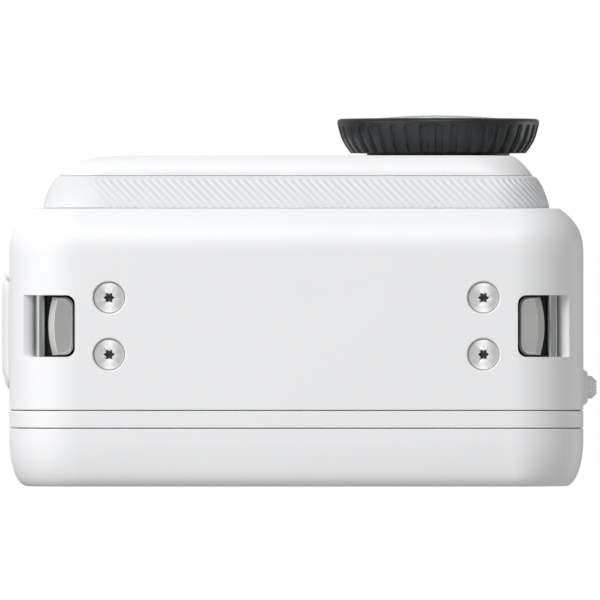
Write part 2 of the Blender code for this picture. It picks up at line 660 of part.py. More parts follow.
def make_battery_door():
    axis = empty("door_hinge_axis", DOOR_AXIS)
    door = block("battery_door", DOOR_PLATE, "white_shell", "X", 2.0 * MM, 3)
    fuse(door, block("door_panel", DOOR_PANEL, None, "X", 2.0 * MM, 3))
    fuse(door, block("door_plug", DOOR_PLUG, None, "X", 1.5 * MM, 3))
    length = (DOOR_PLATE[1].z - DOOR_PLATE[0].z) / MM
    for end in (-1, 1):
        place = DOOR_AXIS + mm(0, 0, end * (length / 2 - 0.2))
        cut(door, rod(f"ear_room_{end}", place, "Z", DOOR_KNUCKLE + 0.3, 3.6, segments=12))
    fuse(door, rod("door_knuckle", DOOR_AXIS, "Z", DOOR_KNUCKLE, length - 4.0, segments=12))
    cut(door, rod("door_bore", DOOR_AXIS, "Z", DOOR_PIN + PIN_CLEARANCE, length, segments=12))
    cut(door, block("latch_track", LATCH_TRACK))
    seal = block("door_seal", SEAL_OUTER, "dark_rubber", "X", 1.5 * MM, 3)
    cut(seal, block("seal_inside", SEAL_INNER, None, "X", 1.2 * MM, 3))
    latch = block("door_latch", LATCH, "white_shell", "X", 0.8 * MM, 3)
    latch_axis = empty("latch_slide_axis", (LATCH[0] + LATCH[1]) / 2)
    attach(latch_axis, axis)
    attach(door, axis)
    attach(seal, axis)
    attach(latch, latch_axis)
    rod("door_hinge_pin", DOOR_AXIS, "Z", DOOR_PIN, length - 1.6, "steel", 12)


# ---- Inside -------------------------------------------------------------------------------------


def make_inside():
    block("main_board", MAIN_BOARD, "board_green")
    block("heat_spreader", HEAT_SPREADER, "aluminium", "Y", 2 * MM, 3)
    block("processor_can", PROCESSOR_CAN, "steel", "Y", 0.8 * MM, 2)
    block("battery", BATTERY, "battery_grey", "X", 1.5 * MM, 4)
    tray = block("battery_tray", TRAY_FLOOR, "black_plastic")
    fuse(tray, block("tray_end", TRAY_END))
    slot = block("card_slot", CARD_SLOT, "steel")
    cut(slot, block("card_pocket", CARD_POCKET))
    block("memory_card", MEMORY_CARD, "black_plastic", "Y", 0.8 * MM, 2)
    socket = block("usb_socket", USB_SOCKET, "steel", "X", 1.4 * MM, 4)
    cut(socket, block("usb_mouth", USB_MOUTH, None, "X", 1.1 * MM, 4))
    block("speaker", SPEAKER, "black_plastic", "Y", 1.5 * MM, 3)
    block("image_sensor", IMAGE_SENSOR, "screen_black")
    block("sensor_board", SENSOR_BOARD, "board_green", "Y", 1 * MM, 2)
    flex = block("screen_flex", SCREEN_FLEX, "flex_amber")
    fuse(flex, block("flex_tab", FLEX_TAB))
    seal_ring("housing_seal", 0, HOUSING_REAR - 0.7 * MM, HOUSING_REAR, "dark_rubber")


# ---- Joint axes ---------------------------------------------------------------------------------


def empty(name, place):
    obj = bpy.data.objects.new(name, None)
    obj.location = place
    obj.empty_display_size = 0.005
    PARTS.objects.link(obj)
    return obj


def attach(obj, parent):
    """Parents an object to an empty and keeps it where it is. Both are given in world coordinates."""
    origin = parent.location.copy()
    above = parent.parent
    while above:
        origin += above.location
        above = above.parent
    obj.parent = parent
    obj.location -= origin


make_front_housing()
make_rear_cover()
make_front()
make_lens()
make_guard()
make_base()
make_cover_screws()
make_power_button()
make_shutter_button()
make_flip_screen()
make_battery_door()
make_inside()
for item in PARTS.objects:
    if item.type == "MESH" and len(item.data.polygons) > 12:
        smooth(item)
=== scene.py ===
# %% [markdown]
# # A white action camera, finished around its frame
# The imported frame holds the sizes, the joints and a plain solid for each piece. This lesson makes the
# surfaces that a person would see: soft moulded shells, a grooved band, a fluted lens guard, steel catches
# in the base and a flip-up screen. Everything is in metres, with +Z up and the lens towards -Y.

# %% Load the frame
import math

import bmesh
import bpy
from mathutils import Matrix, Vector


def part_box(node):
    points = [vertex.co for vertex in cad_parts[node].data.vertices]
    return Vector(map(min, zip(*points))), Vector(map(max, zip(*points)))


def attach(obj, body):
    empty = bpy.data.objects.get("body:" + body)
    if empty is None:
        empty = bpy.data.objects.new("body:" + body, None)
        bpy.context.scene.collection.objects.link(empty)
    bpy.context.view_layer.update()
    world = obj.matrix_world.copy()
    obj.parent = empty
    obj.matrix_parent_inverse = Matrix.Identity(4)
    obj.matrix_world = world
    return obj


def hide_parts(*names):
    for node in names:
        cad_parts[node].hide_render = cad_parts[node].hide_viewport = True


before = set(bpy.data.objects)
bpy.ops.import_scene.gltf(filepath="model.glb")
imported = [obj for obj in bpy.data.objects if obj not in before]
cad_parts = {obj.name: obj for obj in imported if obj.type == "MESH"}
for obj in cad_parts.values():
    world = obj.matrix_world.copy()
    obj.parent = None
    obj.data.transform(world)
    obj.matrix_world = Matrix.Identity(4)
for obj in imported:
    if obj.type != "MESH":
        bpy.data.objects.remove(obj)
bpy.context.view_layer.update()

MM = 0.001

# %% [markdown]
# The main sizes come from the frame's boxes, so the finished shells fit the solids they cover. What the boxes
# don't say, such as a corner radius or the width of a seam, is a named number.

# %% Sizes read from the frame
housing_low, housing_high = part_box("front_housing")
_, cover_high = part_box("rear_cover")
_, screen_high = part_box("screen_frame")
HALF_WIDTH = cover_high.x
HEIGHT = housing_high.z
MIDDLE = HEIGHT / 2
CORNER = 8.5 * MM
WALL = 2.0 * MM
SEAM = 0.05 * MM
HOUSING_FRONT = housing_low.y
FIRST_SEAM = 10.12 * MM
SECOND_SEAM = 12.24 * MM
SCREEN_REAR = screen_high.y
lens_low, lens_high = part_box("guard_ring")
LENS = Vector(((lens_low.x + lens_high.x) / 2, 0, (lens_low.z + lens_high.z) / 2))
print("body is", round(2 * HALF_WIDTH / MM, 2), "mm wide and", round(HEIGHT / MM, 2), "mm high")

# %% [markdown]
# The camera looks straight up at the base, with the lens side at the top of the picture. A very long lens
# from far away keeps the view nearly free of perspective, so the seams stay straight and parallel.

# %% Camera under the base
VIEW_WIDTH = 72.2 * MM
VIEW_CENTRE = Vector((0.44, -3.12, 0)) * MM
SHARP_LEVEL = 14.0 * MM
camera_data = bpy.data.cameras.new("under_camera")
camera_data.lens = 1200
camera_data.sensor_width = 36
camera = bpy.data.objects.new("under_camera", camera_data)
bpy.context.scene.collection.objects.link(camera)
distance = VIEW_WIDTH * camera_data.lens / camera_data.sensor_width
camera.location = VIEW_CENTRE + Vector((0, 0, SHARP_LEVEL - distance))
camera.rotation_euler = (math.pi, 0, 0)
camera_data.clip_start = 0.1
camera_data.clip_end = 20
bpy.context.scene.camera = camera
print("camera is", round(distance, 3), "m below the base")

# %% [markdown]
# A node tree is easier to read as sums than as boxes and wires. `Value` wraps one socket, and the usual
# operators add Math nodes to its tree. `Tree.add` makes any other node from its type, its settings and what
# goes into its sockets. Shader trees and Geometry Nodes trees share both.

# %% A small language for node trees
class Value:
    def __init__(self, tree, socket):
        self.tree = tree
        self.socket = socket

    def maths(self, operation, *inputs, clamp=False):
        settings = {"operation": operation, "use_clamp": clamp}
        return self.tree.add("ShaderNodeMath", settings, dict(enumerate(inputs)))

    def __add__(self, other):
        return self.maths("ADD", self, other)

    def __radd__(self, other):
        return self.maths("ADD", other, self)

    def __sub__(self, other):
        return self.maths("SUBTRACT", self, other)

    def __rsub__(self, other):
        return self.maths("SUBTRACT", other, self)

    def __mul__(self, other):
        return self.maths("MULTIPLY", self, other)

    def __rmul__(self, other):
        return self.maths("MULTIPLY", other, self)

    def __truediv__(self, other):
        return self.maths("DIVIDE", self, other)

    def __rtruediv__(self, other):
        return self.maths("DIVIDE", other, self)

    def __pow__(self, other):
        return self.maths("POWER", self, other)

    def fraction(self):
        return self.maths("FRACT", self)

    def absolute(self):
        return self.maths("ABSOLUTE", self)

    def sine(self):
        return self.maths("SINE", self)

    def at_least(self, other):
        return self.maths("MAXIMUM", self, other)

    def step(self, low, high):
        """0 below low, 1 above high and a soft S between them."""
        settings = {"interpolation_type": "SMOOTHSTEP"}
        return self.tree.add("ShaderNodeMapRange", settings, {"Value": self, "From Min": low, "From Max": high})

    def out(self, name):
        return Value(self.tree, self.socket.node.outputs[name])


class Tree:
    def __init__(self, tree):
        self.tree = tree

    def add(self, kind, settings=None, inputs=None, output=0):
        node = self.tree.nodes.new(kind)
        for name, value in (settings or {}).items():
            setattr(node, name, value)
        for key, value in (inputs or {}).items():
            socket = node.inputs[key]
            if isinstance(value, Value):
                self.tree.links.new(value.socket, socket)
            else:
                socket.default_value = value
        return Value(self, node.outputs[output])

    def xyz(self, vector):
        split = self.add("ShaderNodeSeparateXYZ", None, {0: vector})
        return split, split.out("Y"), split.out("Z")

    def join(self, x, y, z):
        return self.add("ShaderNodeCombineXYZ", None, {0: x, 1: y, 2: z})

    def mix_colour(self, factor, first, second):
        settings = {"data_type": "RGBA"}
        return self.add("ShaderNodeMix", settings, {"Factor": factor, 6: first, 7: second}, output=2)


# %% [markdown]
# A finish is a material with a Principled shader. `new_finish` sets the numbers that are the same all over
# straight on the shader's sockets, and hands back the tree so that what varies can be wired in.

# %% Finishes: the common part
def new_finish(name, **constants):
    material = bpy.data.materials.new(name)
    material.use_nodes = True
    tree = Tree(material.node_tree)
    shader = material.node_tree.nodes["Principled BSDF"]
    for key, value in constants.items():
        socket = shader.inputs[key.replace("_", " ")]
        socket.default_value = (*value, 1) if isinstance(value, tuple) and len(value) == 3 else value
    return material, tree, shader


def wire(tree, shader, **values):
    for key, value in values.items():
        tree.tree.links.new(value.socket, shader.inputs[key.replace("_", " ")])


def noise(tree, scale, detail=3.0, stretch=(1, 1, 1), roughness=0.55):
    """Noise on object coordinates. The scale is in features per millimetre."""
    place = tree.add("ShaderNodeTexCoord").out("Object")
    place = tree.add("ShaderNodeMapping", None, {"Vector": place, "Scale": stretch})
    inputs = {"Vector": place, "Scale": scale / MM, "Detail": detail, "Roughness": roughness}
    return tree.add("ShaderNodeTexNoise", None, inputs)


def bump(tree, height, depth, strength=1.0):
    """A Bump node. The depth is in millimetres."""
    return tree.add("ShaderNodeBump", None, {"Height": height, "Distance": depth * MM, "Strength": strength})


# %% [markdown]
# The shell is white plastic from a spark-eroded mould, so its gloss is broken by a grain of about a tenth of
# a millimetre. A second, much wider noise shifts tone and roughness a little, as handling does, and keeps
# the large faces from looking printed.

# %% Moulded white plastic
def moulded_plastic(name, colour, worn_colour, roughness, grain=9.0, depth=0.004):
    material, tree, shader = new_finish(name, IOR=1.49, Coat_Roughness=0.25)
    wide = noise(tree, 0.05, 2.0)
    fine = noise(tree, grain, 2.0)
    handled = wide.step(0.45, 0.75)
    wire(tree, shader,
         Base_Color=tree.mix_colour(handled, (*colour, 1), (*worn_colour, 1)),
         Roughness=roughness + handled * 0.05 + (fine - 0.5) * 0.08,
         Normal=bump(tree, fine, depth))
    return material


WHITE = moulded_plastic("satin_white_shell", (0.83, 0.835, 0.845), (0.815, 0.82, 0.83), 0.38)
TRIM = moulded_plastic("pale_grooved_band", (0.70, 0.71, 0.725), (0.685, 0.695, 0.71), 0.36, 12.0, 0.003)
POCKET_BLACK = moulded_plastic("black_moulding", (0.012, 0.012, 0.013), (0.018, 0.018, 0.019), 0.42, 8.0, 0.006)
RUBBER = moulded_plastic("dark_soft_rubber", (0.035, 0.036, 0.04), (0.045, 0.046, 0.05), 0.66, 6.0, 0.012)

# %% [markdown]
# Metals get their character from direction. Brushed steel is noise stretched fifty times along one axis,
# which drives a faint bump and the roughness together. Anodised aluminium is bead-blasted, so its grain has
# no direction. The screw heads are turned on a lathe, so their shine fans out from the middle.

# %% Metals
def brushed(name, colour, roughness, along, depth=0.0012, anisotropy=0.4):
    material, tree, shader = new_finish(name, Metallic=1.0, Anisotropic=anisotropy)
    stretch = tuple(0.02 if axis == along else 1.0 for axis in "XYZ")
    lines = noise(tree, 14.0, 3.0, stretch)
    cloud = noise(tree, 0.25, 2.0)
    dark = tuple(channel * 0.93 for channel in colour)
    wire(tree, shader,
         Base_Color=tree.mix_colour(cloud.step(0.35, 0.7), (*colour, 1), (*dark, 1)),
         Roughness=roughness + (lines - 0.5) * 0.14,
         Normal=bump(tree, lines, depth))
    return material


def anodised(name, colour, roughness, metallic, depth=0.004):
    material, tree, shader = new_finish(name, Metallic=metallic, Specular_IOR_Level=0.6)
    grain = noise(tree, 11.0, 2.0)
    cloud = noise(tree, 0.12, 2.0)
    lighter = tuple(channel * 1.25 + 0.004 for channel in colour)
    wire(tree, shader,
         Base_Color=tree.mix_colour(cloud.step(0.4, 0.7), (*colour, 1), (*lighter, 1)),
         Roughness=roughness + (grain - 0.5) * 0.16 + cloud * 0.05,
         Normal=bump(tree, grain, depth))
    return material


def turned_steel(name, colour):
    """Its driver recess is painted darker with depth, a painted shade. Each screw carries its own depth, in
    millimetres, as an attribute.
    """
    material, tree, shader = new_finish(name, Metallic=0.7, Anisotropic=0.85, Anisotropic_Rotation=0.25)
    depth = tree.add("ShaderNodeAttribute", {"attribute_name": "depth"}, output=2)
    cloud = noise(tree, 1.2, 3.0)
    dark = tuple(channel * 0.93 for channel in colour)
    face = tree.mix_colour(cloud.step(0.4, 0.75), (*colour, 1), (*dark, 1))
    wire(tree, shader,
         # Painted shade: between 0.14 mm and 0.6 mm deep the face turns near-black, so the driver recess reads dark.
         Base_Color=tree.mix_colour(depth.step(0.14, 0.6), face, (0.05, 0.052, 0.055, 1)),
         Roughness=0.38 + (cloud - 0.5) * 0.05,
         Normal=bump(tree, noise(tree, 18.0, 2.0), 0.0004))
    return material


CATCH_STEEL = brushed("satin_steel", (0.66, 0.66, 0.65), 0.34, "Y", anisotropy=0.0)
PIN_STEEL = brushed("ground_pin_steel", (0.50, 0.51, 0.52), 0.24, "Y", 0.0006)
INNER_STEEL = brushed("stamped_steel", (0.58, 0.58, 0.57), 0.34, "X")
SCREW_STEEL = turned_steel("turned_screw_steel", (0.80, 0.80, 0.80))
GUARD_GREY = anodised("dark_anodised_ring", (0.0060, 0.0082, 0.0098), 0.32, 0.0)
PALE_ALUMINIUM = anodised("pale_anodised_aluminium", (0.62, 0.63, 0.65), 0.30, 0.85)
NICKEL = brushed("nickel_plate", (0.66, 0.64, 0.60), 0.20, "Z", 0.001)

# %% [markdown]
# Clear glass is mostly what stands behind it. The guard glass is thin and lets light through, and turns grey
# where it is seen edge-on. The front element carries a coating: a Layer Weight node takes its deep colour from
# violet to green towards the rim. The screens are black glass: a deep base under a hard, nearly perfect coat.

# %% Glass
def clear_glass():
    material, tree, shader = new_finish("guard_clear_glass", Transmission_Weight=1.0, IOR=1.45)
    smear = noise(tree, 0.35, 3.0)
    clear = tree.mix_colour(smear, (0.97, 0.98, 0.985, 1), (0.93, 0.95, 0.96, 1))
    edge_on = tree.add("ShaderNodeLayerWeight", None, {"Blend": 0.5}, output=1).step(0.82, 0.97)
    edge_inputs = {"Base Color": (0.42, 0.44, 0.45, 1), "Roughness": 0.3}
    edge = tree.add("ShaderNodeBsdfPrincipled", None, edge_inputs)
    mixed = tree.add("ShaderNodeMixShader", None, {0: edge_on * 0.8, 1: Value(tree, shader.outputs[0]), 2: edge})
    tree.tree.links.new(mixed.socket, material.node_tree.nodes["Material Output"].inputs["Surface"])
    wire(tree, shader,
         Base_Color=clear,
         Roughness=0.02 + smear.step(0.45, 0.8) * 0.05)
    return material


def coated_lens():
    material, tree, shader = new_finish("coated_front_element", IOR=1.7, Coat_Weight=1.0, Coat_Roughness=0.01)
    facing = tree.add("ShaderNodeLayerWeight", None, {"Blend": 0.35}, output=1)
    dust = noise(tree, 1.5, 2.0)
    tint = tree.mix_colour(facing.step(0.05, 0.7), (0.012, 0.004, 0.028, 1), (0.004, 0.022, 0.018, 1))
    wire(tree, shader, Base_Color=tint, Roughness=0.03 + dust * 0.03)
    return material


def black_glass(name, low, high):
    """Black cover glass. The lit area of the panel under it, between two corners, is a shade greyer."""
    material, tree, shader = new_finish(name, IOR=1.5, Coat_Weight=1.0, Coat_Roughness=0.02)
    x, _, z = tree.xyz(tree.add("ShaderNodeTexCoord").out("Object"))
    middle = (low + high) / 2
    across = (x - middle.x).absolute() - (high.x - low.x) / 2
    up = (z - middle.z).absolute() - (high.z - low.z) / 2
    outside = across.at_least(up).step(-0.1 * MM, 0.1 * MM)
    smear = noise(tree, 0.08, 4.0)
    wire(tree, shader,
         Base_Color=tree.mix_colour(outside, (0.011, 0.012, 0.014, 1), (0.003, 0.003, 0.0035, 1)),
         Roughness=0.05 + smear.step(0.5, 0.8) * 0.02)
    return material


GUARD_GLASS = clear_glass()
LENS_GLASS = coated_lens()
panel_low, panel_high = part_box("screen_panel")
REAR_GLASS = black_glass("rear_screen_glass", panel_low, panel_high)
display_low, display_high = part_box("front_display")
FRONT_GLASS = black_glass("front_window_glass", display_low, display_high)
print("finishes so far:", ", ".join(sorted(material.name for material in bpy.data.materials)))

# %% [markdown]
# A turned or lofted shell needs only two helpers. `outline` walks round a rounded rectangle whose four sides
# may differ, and `loft` skins one outline after another along Y. Closed ends keep every shell one body.

# %% Outlines and lofts
def outline(left, right, bottom, top, radius, arc_steps=16):
    """Points (x, z) of a rounded rectangle, anticlockwise as seen from the front."""
    points = []
    centres = ((right, top, -1, -1), (left, top, 1, -1), (left, bottom, 1, 1), (right, bottom, -1, 1))
    for corner, (x, z, inward_x, inward_z) in enumerate(centres):
        for step in range(arc_steps + 1):
            angle = math.pi / 2 * (corner + step / arc_steps)
            points.append((x + inward_x * radius + radius * math.cos(angle),
                           z + inward_z * radius + radius * math.sin(angle)))
    return points


def new_object(name, shape, material=None):
    bmesh.ops.remove_doubles(shape, verts=shape.verts, dist=0.0005 * MM)
    bmesh.ops.recalc_face_normals(shape, faces=shape.faces)
    mesh = bpy.data.meshes.new(name)
    shape.to_mesh(mesh)
    shape.free()
    obj = bpy.data.objects.new(name, mesh)
    bpy.context.scene.collection.objects.link(obj)
    if material:
        mesh.materials.append(material)
    return obj


def skin(shape, rings, closed=False):
    """Joins rings of points with quads, and closes the ends unless the rings come round again."""
    made = [[shape.verts.new(point) for point in ring] for ring in rings]
    count = len(made[0])
    pairs = list(zip(made, made[1:]))
    if closed:
        pairs.append((made[-1], made[0]))
    for near, far in pairs:
        for i in range(count):
            j = (i + 1) % count
            shape.faces.new((near[i], near[j], far[j], far[i]))
    if not closed:
        shape.faces.new(made[0])
        shape.faces.new(made[-1])


def loft(name, sections, material=None, arc_steps=16):
    """Sections are (y, (left, right, bottom, top), corner radius), in metres."""
    shape = bmesh.new()
    rings = []
    for y, sides, radius in sections:
        rings.append([(x, y, z) for x, z in outline(*sides, radius, arc_steps)])
    skin(shape, rings)
    return new_object(name, shape, material)


def body_sides(inset, top=HEIGHT):
    return (inset - HALF_WIDTH, HALF_WIDTH - inset, inset, top - inset)


# %% [markdown]
# Cutting follows one routine: collect the cutters, run them as exact Booleans, then bake the result to a
# plain mesh and throw the cutters away. `soften` rounds the sharp edges that a cut leaves with a narrow
# Bevel, and Weighted Normal keeps the big faces looking flat beside the small ones.

# %% Cutting, baking and softening
def bake(obj):
    graph = bpy.context.evaluated_depsgraph_get()
    mesh = bpy.data.meshes.new_from_object(obj.evaluated_get(graph))
    obj.modifiers.clear()
    old = obj.data
    obj.data = mesh
    bpy.data.meshes.remove(old)
    obj.data.transform(obj.matrix_world)
    obj.matrix_world = Matrix()
    return obj


def boolean(obj, others, operation="DIFFERENCE"):
    for other in others:
        modifier = obj.modifiers.new(other.name, "BOOLEAN")
        modifier.operation = operation
        modifier.solver = "EXACT"
        modifier.object = other
    bake(obj)
    for other in others:
        bpy.data.objects.remove(other)
    return obj


SHARP_ANGLE = 50


def soften(obj, width, segments=2, angle=32):
    """Rounds sharp edges. The width is in millimetres."""
    if width:
        bevel = obj.modifiers.new("edge", "BEVEL")
        bevel.width = width * MM
        bevel.segments = segments
        bevel.limit_method = "ANGLE"
        bevel.angle_limit = math.radians(angle)
        bevel.harden_normals = False
        bevel.miter_outer = "MITER_ARC"
        bake(obj)
    obj.data.shade_smooth()
    obj.data.set_sharp_from_angle(angle=math.radians(SHARP_ANGLE))
    even = obj.modifiers.new("even", "WEIGHTED_NORMAL")
    even.keep_sharp = True
    even.weight = 90
    bake(obj)
    return obj


def place(obj, body, slot, *replaced):
    """Puts a finished piece on its body, in the frame's terms."""
    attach(obj, body)
    if replaced:
        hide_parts(*replaced)
    print(f"{obj.name}: {len(obj.data.polygons)} faces on {body}")
    return obj


def box(name, low, high, material=None, radius=0.0, along="Y", segments=6):
    """A box between corners in metres. The four edges along one axis can be rounded."""
    size = Vector(high) - Vector(low)
    shape = bmesh.new()
    bmesh.ops.create_cube(shape, size=1.0)
    bmesh.ops.scale(shape, vec=size, verts=shape.verts)
    if radius:
        axis = "XYZ".index(along)
        edges = [e for e in shape.edges if abs(e.verts[0].co[axis] - e.verts[1].co[axis]) > size[axis] / 2]
        bmesh.ops.bevel(shape, geom=edges, offset=radius, segments=segments, profile=0.5, affect="EDGES")
    bmesh.ops.translate(shape, vec=(Vector(low) + Vector(high)) / 2, verts=shape.verts)
    return new_object(name, shape, material)


def lathe(name, profile, centre, material=None, towards="front", steps=96):
    """Turns (radius, distance) points, in millimetres, about -Y (front), +Z (up) or +X (right)."""
    turns = {"front": Matrix.Rotation(math.pi / 2, 4, "X"), "up": Matrix(),
             "right": Matrix.Rotation(math.pi / 2, 4, "Y"), "rear": Matrix.Rotation(-math.pi / 2, 4, "X")}
    shape = bmesh.new()
    rings = []
    for radius, along in profile:
        ring = []
        for step in range(steps):
            angle = 2 * math.pi * step / steps
            spot = Vector((max(radius, 0.0002) * math.cos(angle), max(radius, 0.0002) * math.sin(angle), along))
            ring.append(Vector(centre) + turns[towards] @ (spot * MM))
        rings.append(ring)
    skin(shape, rings, closed=profile[0][0] > 0)
    return new_object(name, shape, material)


# %% [markdown]
# ## Front housing
# The housing is one moulding: a rounded rectangle whose front edge sweeps in over a long distance and then
# stops at a crisp line, and whose rear edge is cut square at the first seam. A loft gives that edge exactly,
# because each section only needs its inset. The base then takes the claw slots and the screw seats.

# %% Housing shell
EDGE_INSET = 2.92 * MM
EDGE_DEPTH = 5.8 * MM
EDGE_STEPS = 16
CORNER_BLOCK_X = 24.5 * MM
CORNER_BLOCK_TOP = 9.0 * MM


def housing_sections():
    sections = []
    for step in range(EDGE_STEPS + 1):
        along = (step / EDGE_STEPS) ** 1.3
        inset = EDGE_INSET * (1 - along) ** 2.9
        sections.append((HOUSING_FRONT + along * EDGE_DEPTH, body_sides(inset), CORNER - inset))
    rear = FIRST_SEAM - SEAM
    notch = 0.10 * MM
    sections.append((rear - notch, body_sides(0), CORNER))
    sections.append((rear, body_sides(notch), CORNER - notch))
    return sections


housing = loft("housing_shell", housing_sections(), WHITE, 20)
inner_front = HOUSING_FRONT + WALL
far = FIRST_SEAM + WALL
inner_sides = (WALL - HALF_WIDTH, HALF_WIDTH - WALL, CORNER_BLOCK_TOP, HEIGHT - WALL)
cavity = loft("cavity", [(y, inner_sides, CORNER - WALL) for y in (inner_front, far)])
lower = box("lower_cavity", (-CORNER_BLOCK_X, inner_front, WALL), (CORNER_BLOCK_X, far, MIDDLE))
lens_hole = lathe("lens_hole", [(0, 18), (9.0, 18), (9.0, 8), (0, 8)], LENS, steps=64)
boolean(housing, [cavity, lower, lens_hole])
print("housing shell:", len(housing.data.polygons), "faces")

# %% [markdown]
# Each claw slot opens in the curved corner of the base. Its inner end is rounded, its outer end is nearly
# square, and its outer wall leans inwards so that a claw slides in. The pocket is therefore a loft of
# outlines that differ only at the outer end. The four screws sit in shallow round seats.

# %% Claw slots and screw seats
SLOT_INNER = 26.5
SLOT_OUTER = 32.9
SLOT_HALF_DEPTH = 3.7
SLOT_RAMP = [(-2.0, 0.0), (3.3, 0.0), (3.42, 0.6), (3.65, 1.15), (3.98, 1.5), (4.4, 1.68), (7.2, 1.72)]
SCREW_SEAT = 1.9


def slot_outline(outer):
    """Points (x, y) of one slot, in millimetres, with a soft inner end and small outer corners."""
    points = []
    corners = ((outer, SLOT_HALF_DEPTH, 0.35, 0), (SLOT_INNER, SLOT_HALF_DEPTH, 1.05, 1),
               (SLOT_INNER, -SLOT_HALF_DEPTH, 1.05, 2), (outer, -SLOT_HALF_DEPTH, 0.35, 3))
    for x, y, radius, corner in corners:
        middle_x = x - radius if corner in (0, 3) else x + radius
        middle_y = y - radius if corner in (0, 1) else y + radius
        for step in range(9):
            angle = math.pi / 2 * (corner + step / 8)
            points.append((middle_x + radius * math.cos(angle), middle_y + radius * math.sin(angle)))
    return points


def slot_pocket(side):
    shape = bmesh.new()
    rings = []
    for z, ramp in SLOT_RAMP:
        rings.append([Vector((side * x, y, z)) * MM for x, y in slot_outline(SLOT_OUTER - ramp)])
    skin(shape, rings)
    return new_object("slot_pocket", shape)


seats = []
for number in range(1, 5):
    low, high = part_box(f"base_screw_{number}")
    middle = (low + high) / 2
    seat = [(0, 1.65), (SCREW_SEAT, 1.65), (SCREW_SEAT, 0.16), (SCREW_SEAT + 0.18, -0.02), (SCREW_SEAT + 0.18, -1)]
    seats.append(lathe("screw_seat", seat + [(0, -1)], (middle.x, middle.y, 0), None, "up", 64))
    seats.append(lathe("screw_bore", [(0, 8), (1.2, 8), (1.2, -1), (0, -1)], (middle.x, middle.y, 0), None, "up", 24))
pins = []
for side, name in ((-1, "left"), (1, "right")):
    low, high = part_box(f"catch_pin_{name}")
    middle = (low + high) / 2
    half = (high.y - low.y) / 2 / MM + 0.4
    pins.append(lathe("pin_bore", [(0, half), (0.72, half), (0.72, -half), (0, -half)], middle, None, "front", 32))
boolean(housing, [slot_pocket(-1), slot_pocket(1)] + seats + pins)
print("base cut, housing now has", len(housing.data.polygons), "faces")

# %% [markdown]
# The battery door has its own seat in the left wall: a shallow recess for the plate, an opening behind it
# and two ears that hold the ends of the hinge pin. The buttons pass through round and pill-shaped holes.

# %% Door seat and button holes
door_low, door_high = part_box("battery_door")
door_pin_low, door_pin_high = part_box("door_hinge_pin")
DOOR_AXIS = (door_pin_low + door_pin_high) / 2
DOOR_KNUCKLE = 0.68
power_low, power_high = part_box("power_button")
power_middle = (power_low + power_high) / 2 / MM
POWER_Y = round(power_middle.y, 2)
POWER_Z = round(power_middle.z, 2)
shutter_low, shutter_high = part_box("shutter_button")
SHUTTER = Vector(((shutter_low.x + shutter_high.x) / 2, (shutter_low.y + shutter_high.y) / 2, 0))


def mm(*values):
    return Vector(values) * MM


recess = box("recess", mm(-37, -6.6, 11.7), mm(-33.3, 7.86, 40.3), radius=2.2 * MM, along="X")
opening = box("opening", mm(-37, -4.6, 14.6), mm(-31, 5.4, 37.4), radius=1.5 * MM, along="X")
half_door = (door_high.z - door_low.z) / 2 / MM
knuckle_room = lathe("room", [(0, half_door - 1.7), (0.98, half_door - 1.7), (0.98, 1.7 - half_door),
                              (0, 1.7 - half_door)], DOOR_AXIS, None, "up", 24)
POWER_HOLE_Y = 2.1
POWER_HOLE_Z = 5.1
power_hole = box("power_hole", mm(30, POWER_Y - POWER_HOLE_Y, POWER_Z - POWER_HOLE_Z),
                 mm(37, POWER_Y + POWER_HOLE_Y, POWER_Z + POWER_HOLE_Z), radius=2.08 * MM, along="X")
shutter_hole = lathe("shutter_hole", [(0, 54), (6.35, 54), (6.35, 46), (0, 46)], SHUTTER, None, "up", 96)
COVER_SCREW_X = (-29.3, 29.3)
COVER_SCREW_Z = (5.1, 45.3)
bores = []
for x in COVER_SCREW_X:
    for z in COVER_SCREW_Z:
        bores.append(lathe("bore", [(0, -4), (1.2, -4), (1.2, -11), (0, -11)], mm(x, 0, z), None, "front", 24))
boolean(housing, [recess, opening, knuckle_room, power_hole, shutter_hole])
bosses = []
for x in COVER_SCREW_X:
    place_at = mm(x, 0, COVER_SCREW_Z[1])
    boss = lathe("boss", [(0, -2), (2.4, -2), (2.4, -9.6), (0, -9.6)], place_at, None, "front", 32)
    bosses.append(boss)
ears = []
for end in (-1, 1):
    ear = DOOR_AXIS + mm(0, 0, end * (half_door - 0.85))
    ears.append(lathe("ear", [(0, 0.85), (0.5, 0.85), (DOOR_KNUCKLE, 0.68), (DOOR_KNUCKLE, -0.68), (0.5, -0.85),
                              (0, -0.85)], ear, None, "up", 32))
boolean(housing, bosses + ears, "UNION")
pin_bore = lathe("pin_bore", [(0, half_door - 0.6), (0.38, half_door - 0.6), (0.38, 0.6 - half_door),
                              (0, 0.6 - half_door)], DOOR_AXIS, None, "up", 24)
boolean(housing, bores + [pin_bore])
soften(housing, 0.06, 2, 40)
place(housing, "camera_body", "white_shell", "front_housing")

# %% [markdown]
# ## Rear cover and hinge
# The rear cover is the thin plate between the two seams. Both of its edges carry a tiny notch, so that each
# seam reads as a fine dark line with a bright lip. The outer hinge knuckles grow out of its top edge, and the
# middle of that edge is hollowed for the screen's own knuckle.

# %% Rear cover
HINGE = Vector((0, SECOND_SEAM, HEIGHT))
KNUCKLE = 1.8
CENTRE_KNUCKLE = 12.0
OUTER_KNUCKLE = 20.0
NOTCH = 0.10 * MM
KNUCKLE_GAP = 0.3
PIN_BORE = 0.78
PIN_BORE_START = 9.7
PIN_BORE_END = 21


def knuckle(name, low, high, radius, steps=48, edge=0.15):
    """A rod along X about the hinge axis, between two X positions in millimetres."""
    profile = [(0, low), (radius - edge, low), (radius, low + edge), (radius, high - edge), (radius - edge, high),
               (0, high)]
    return lathe(name, profile, HINGE, None, "right", steps)


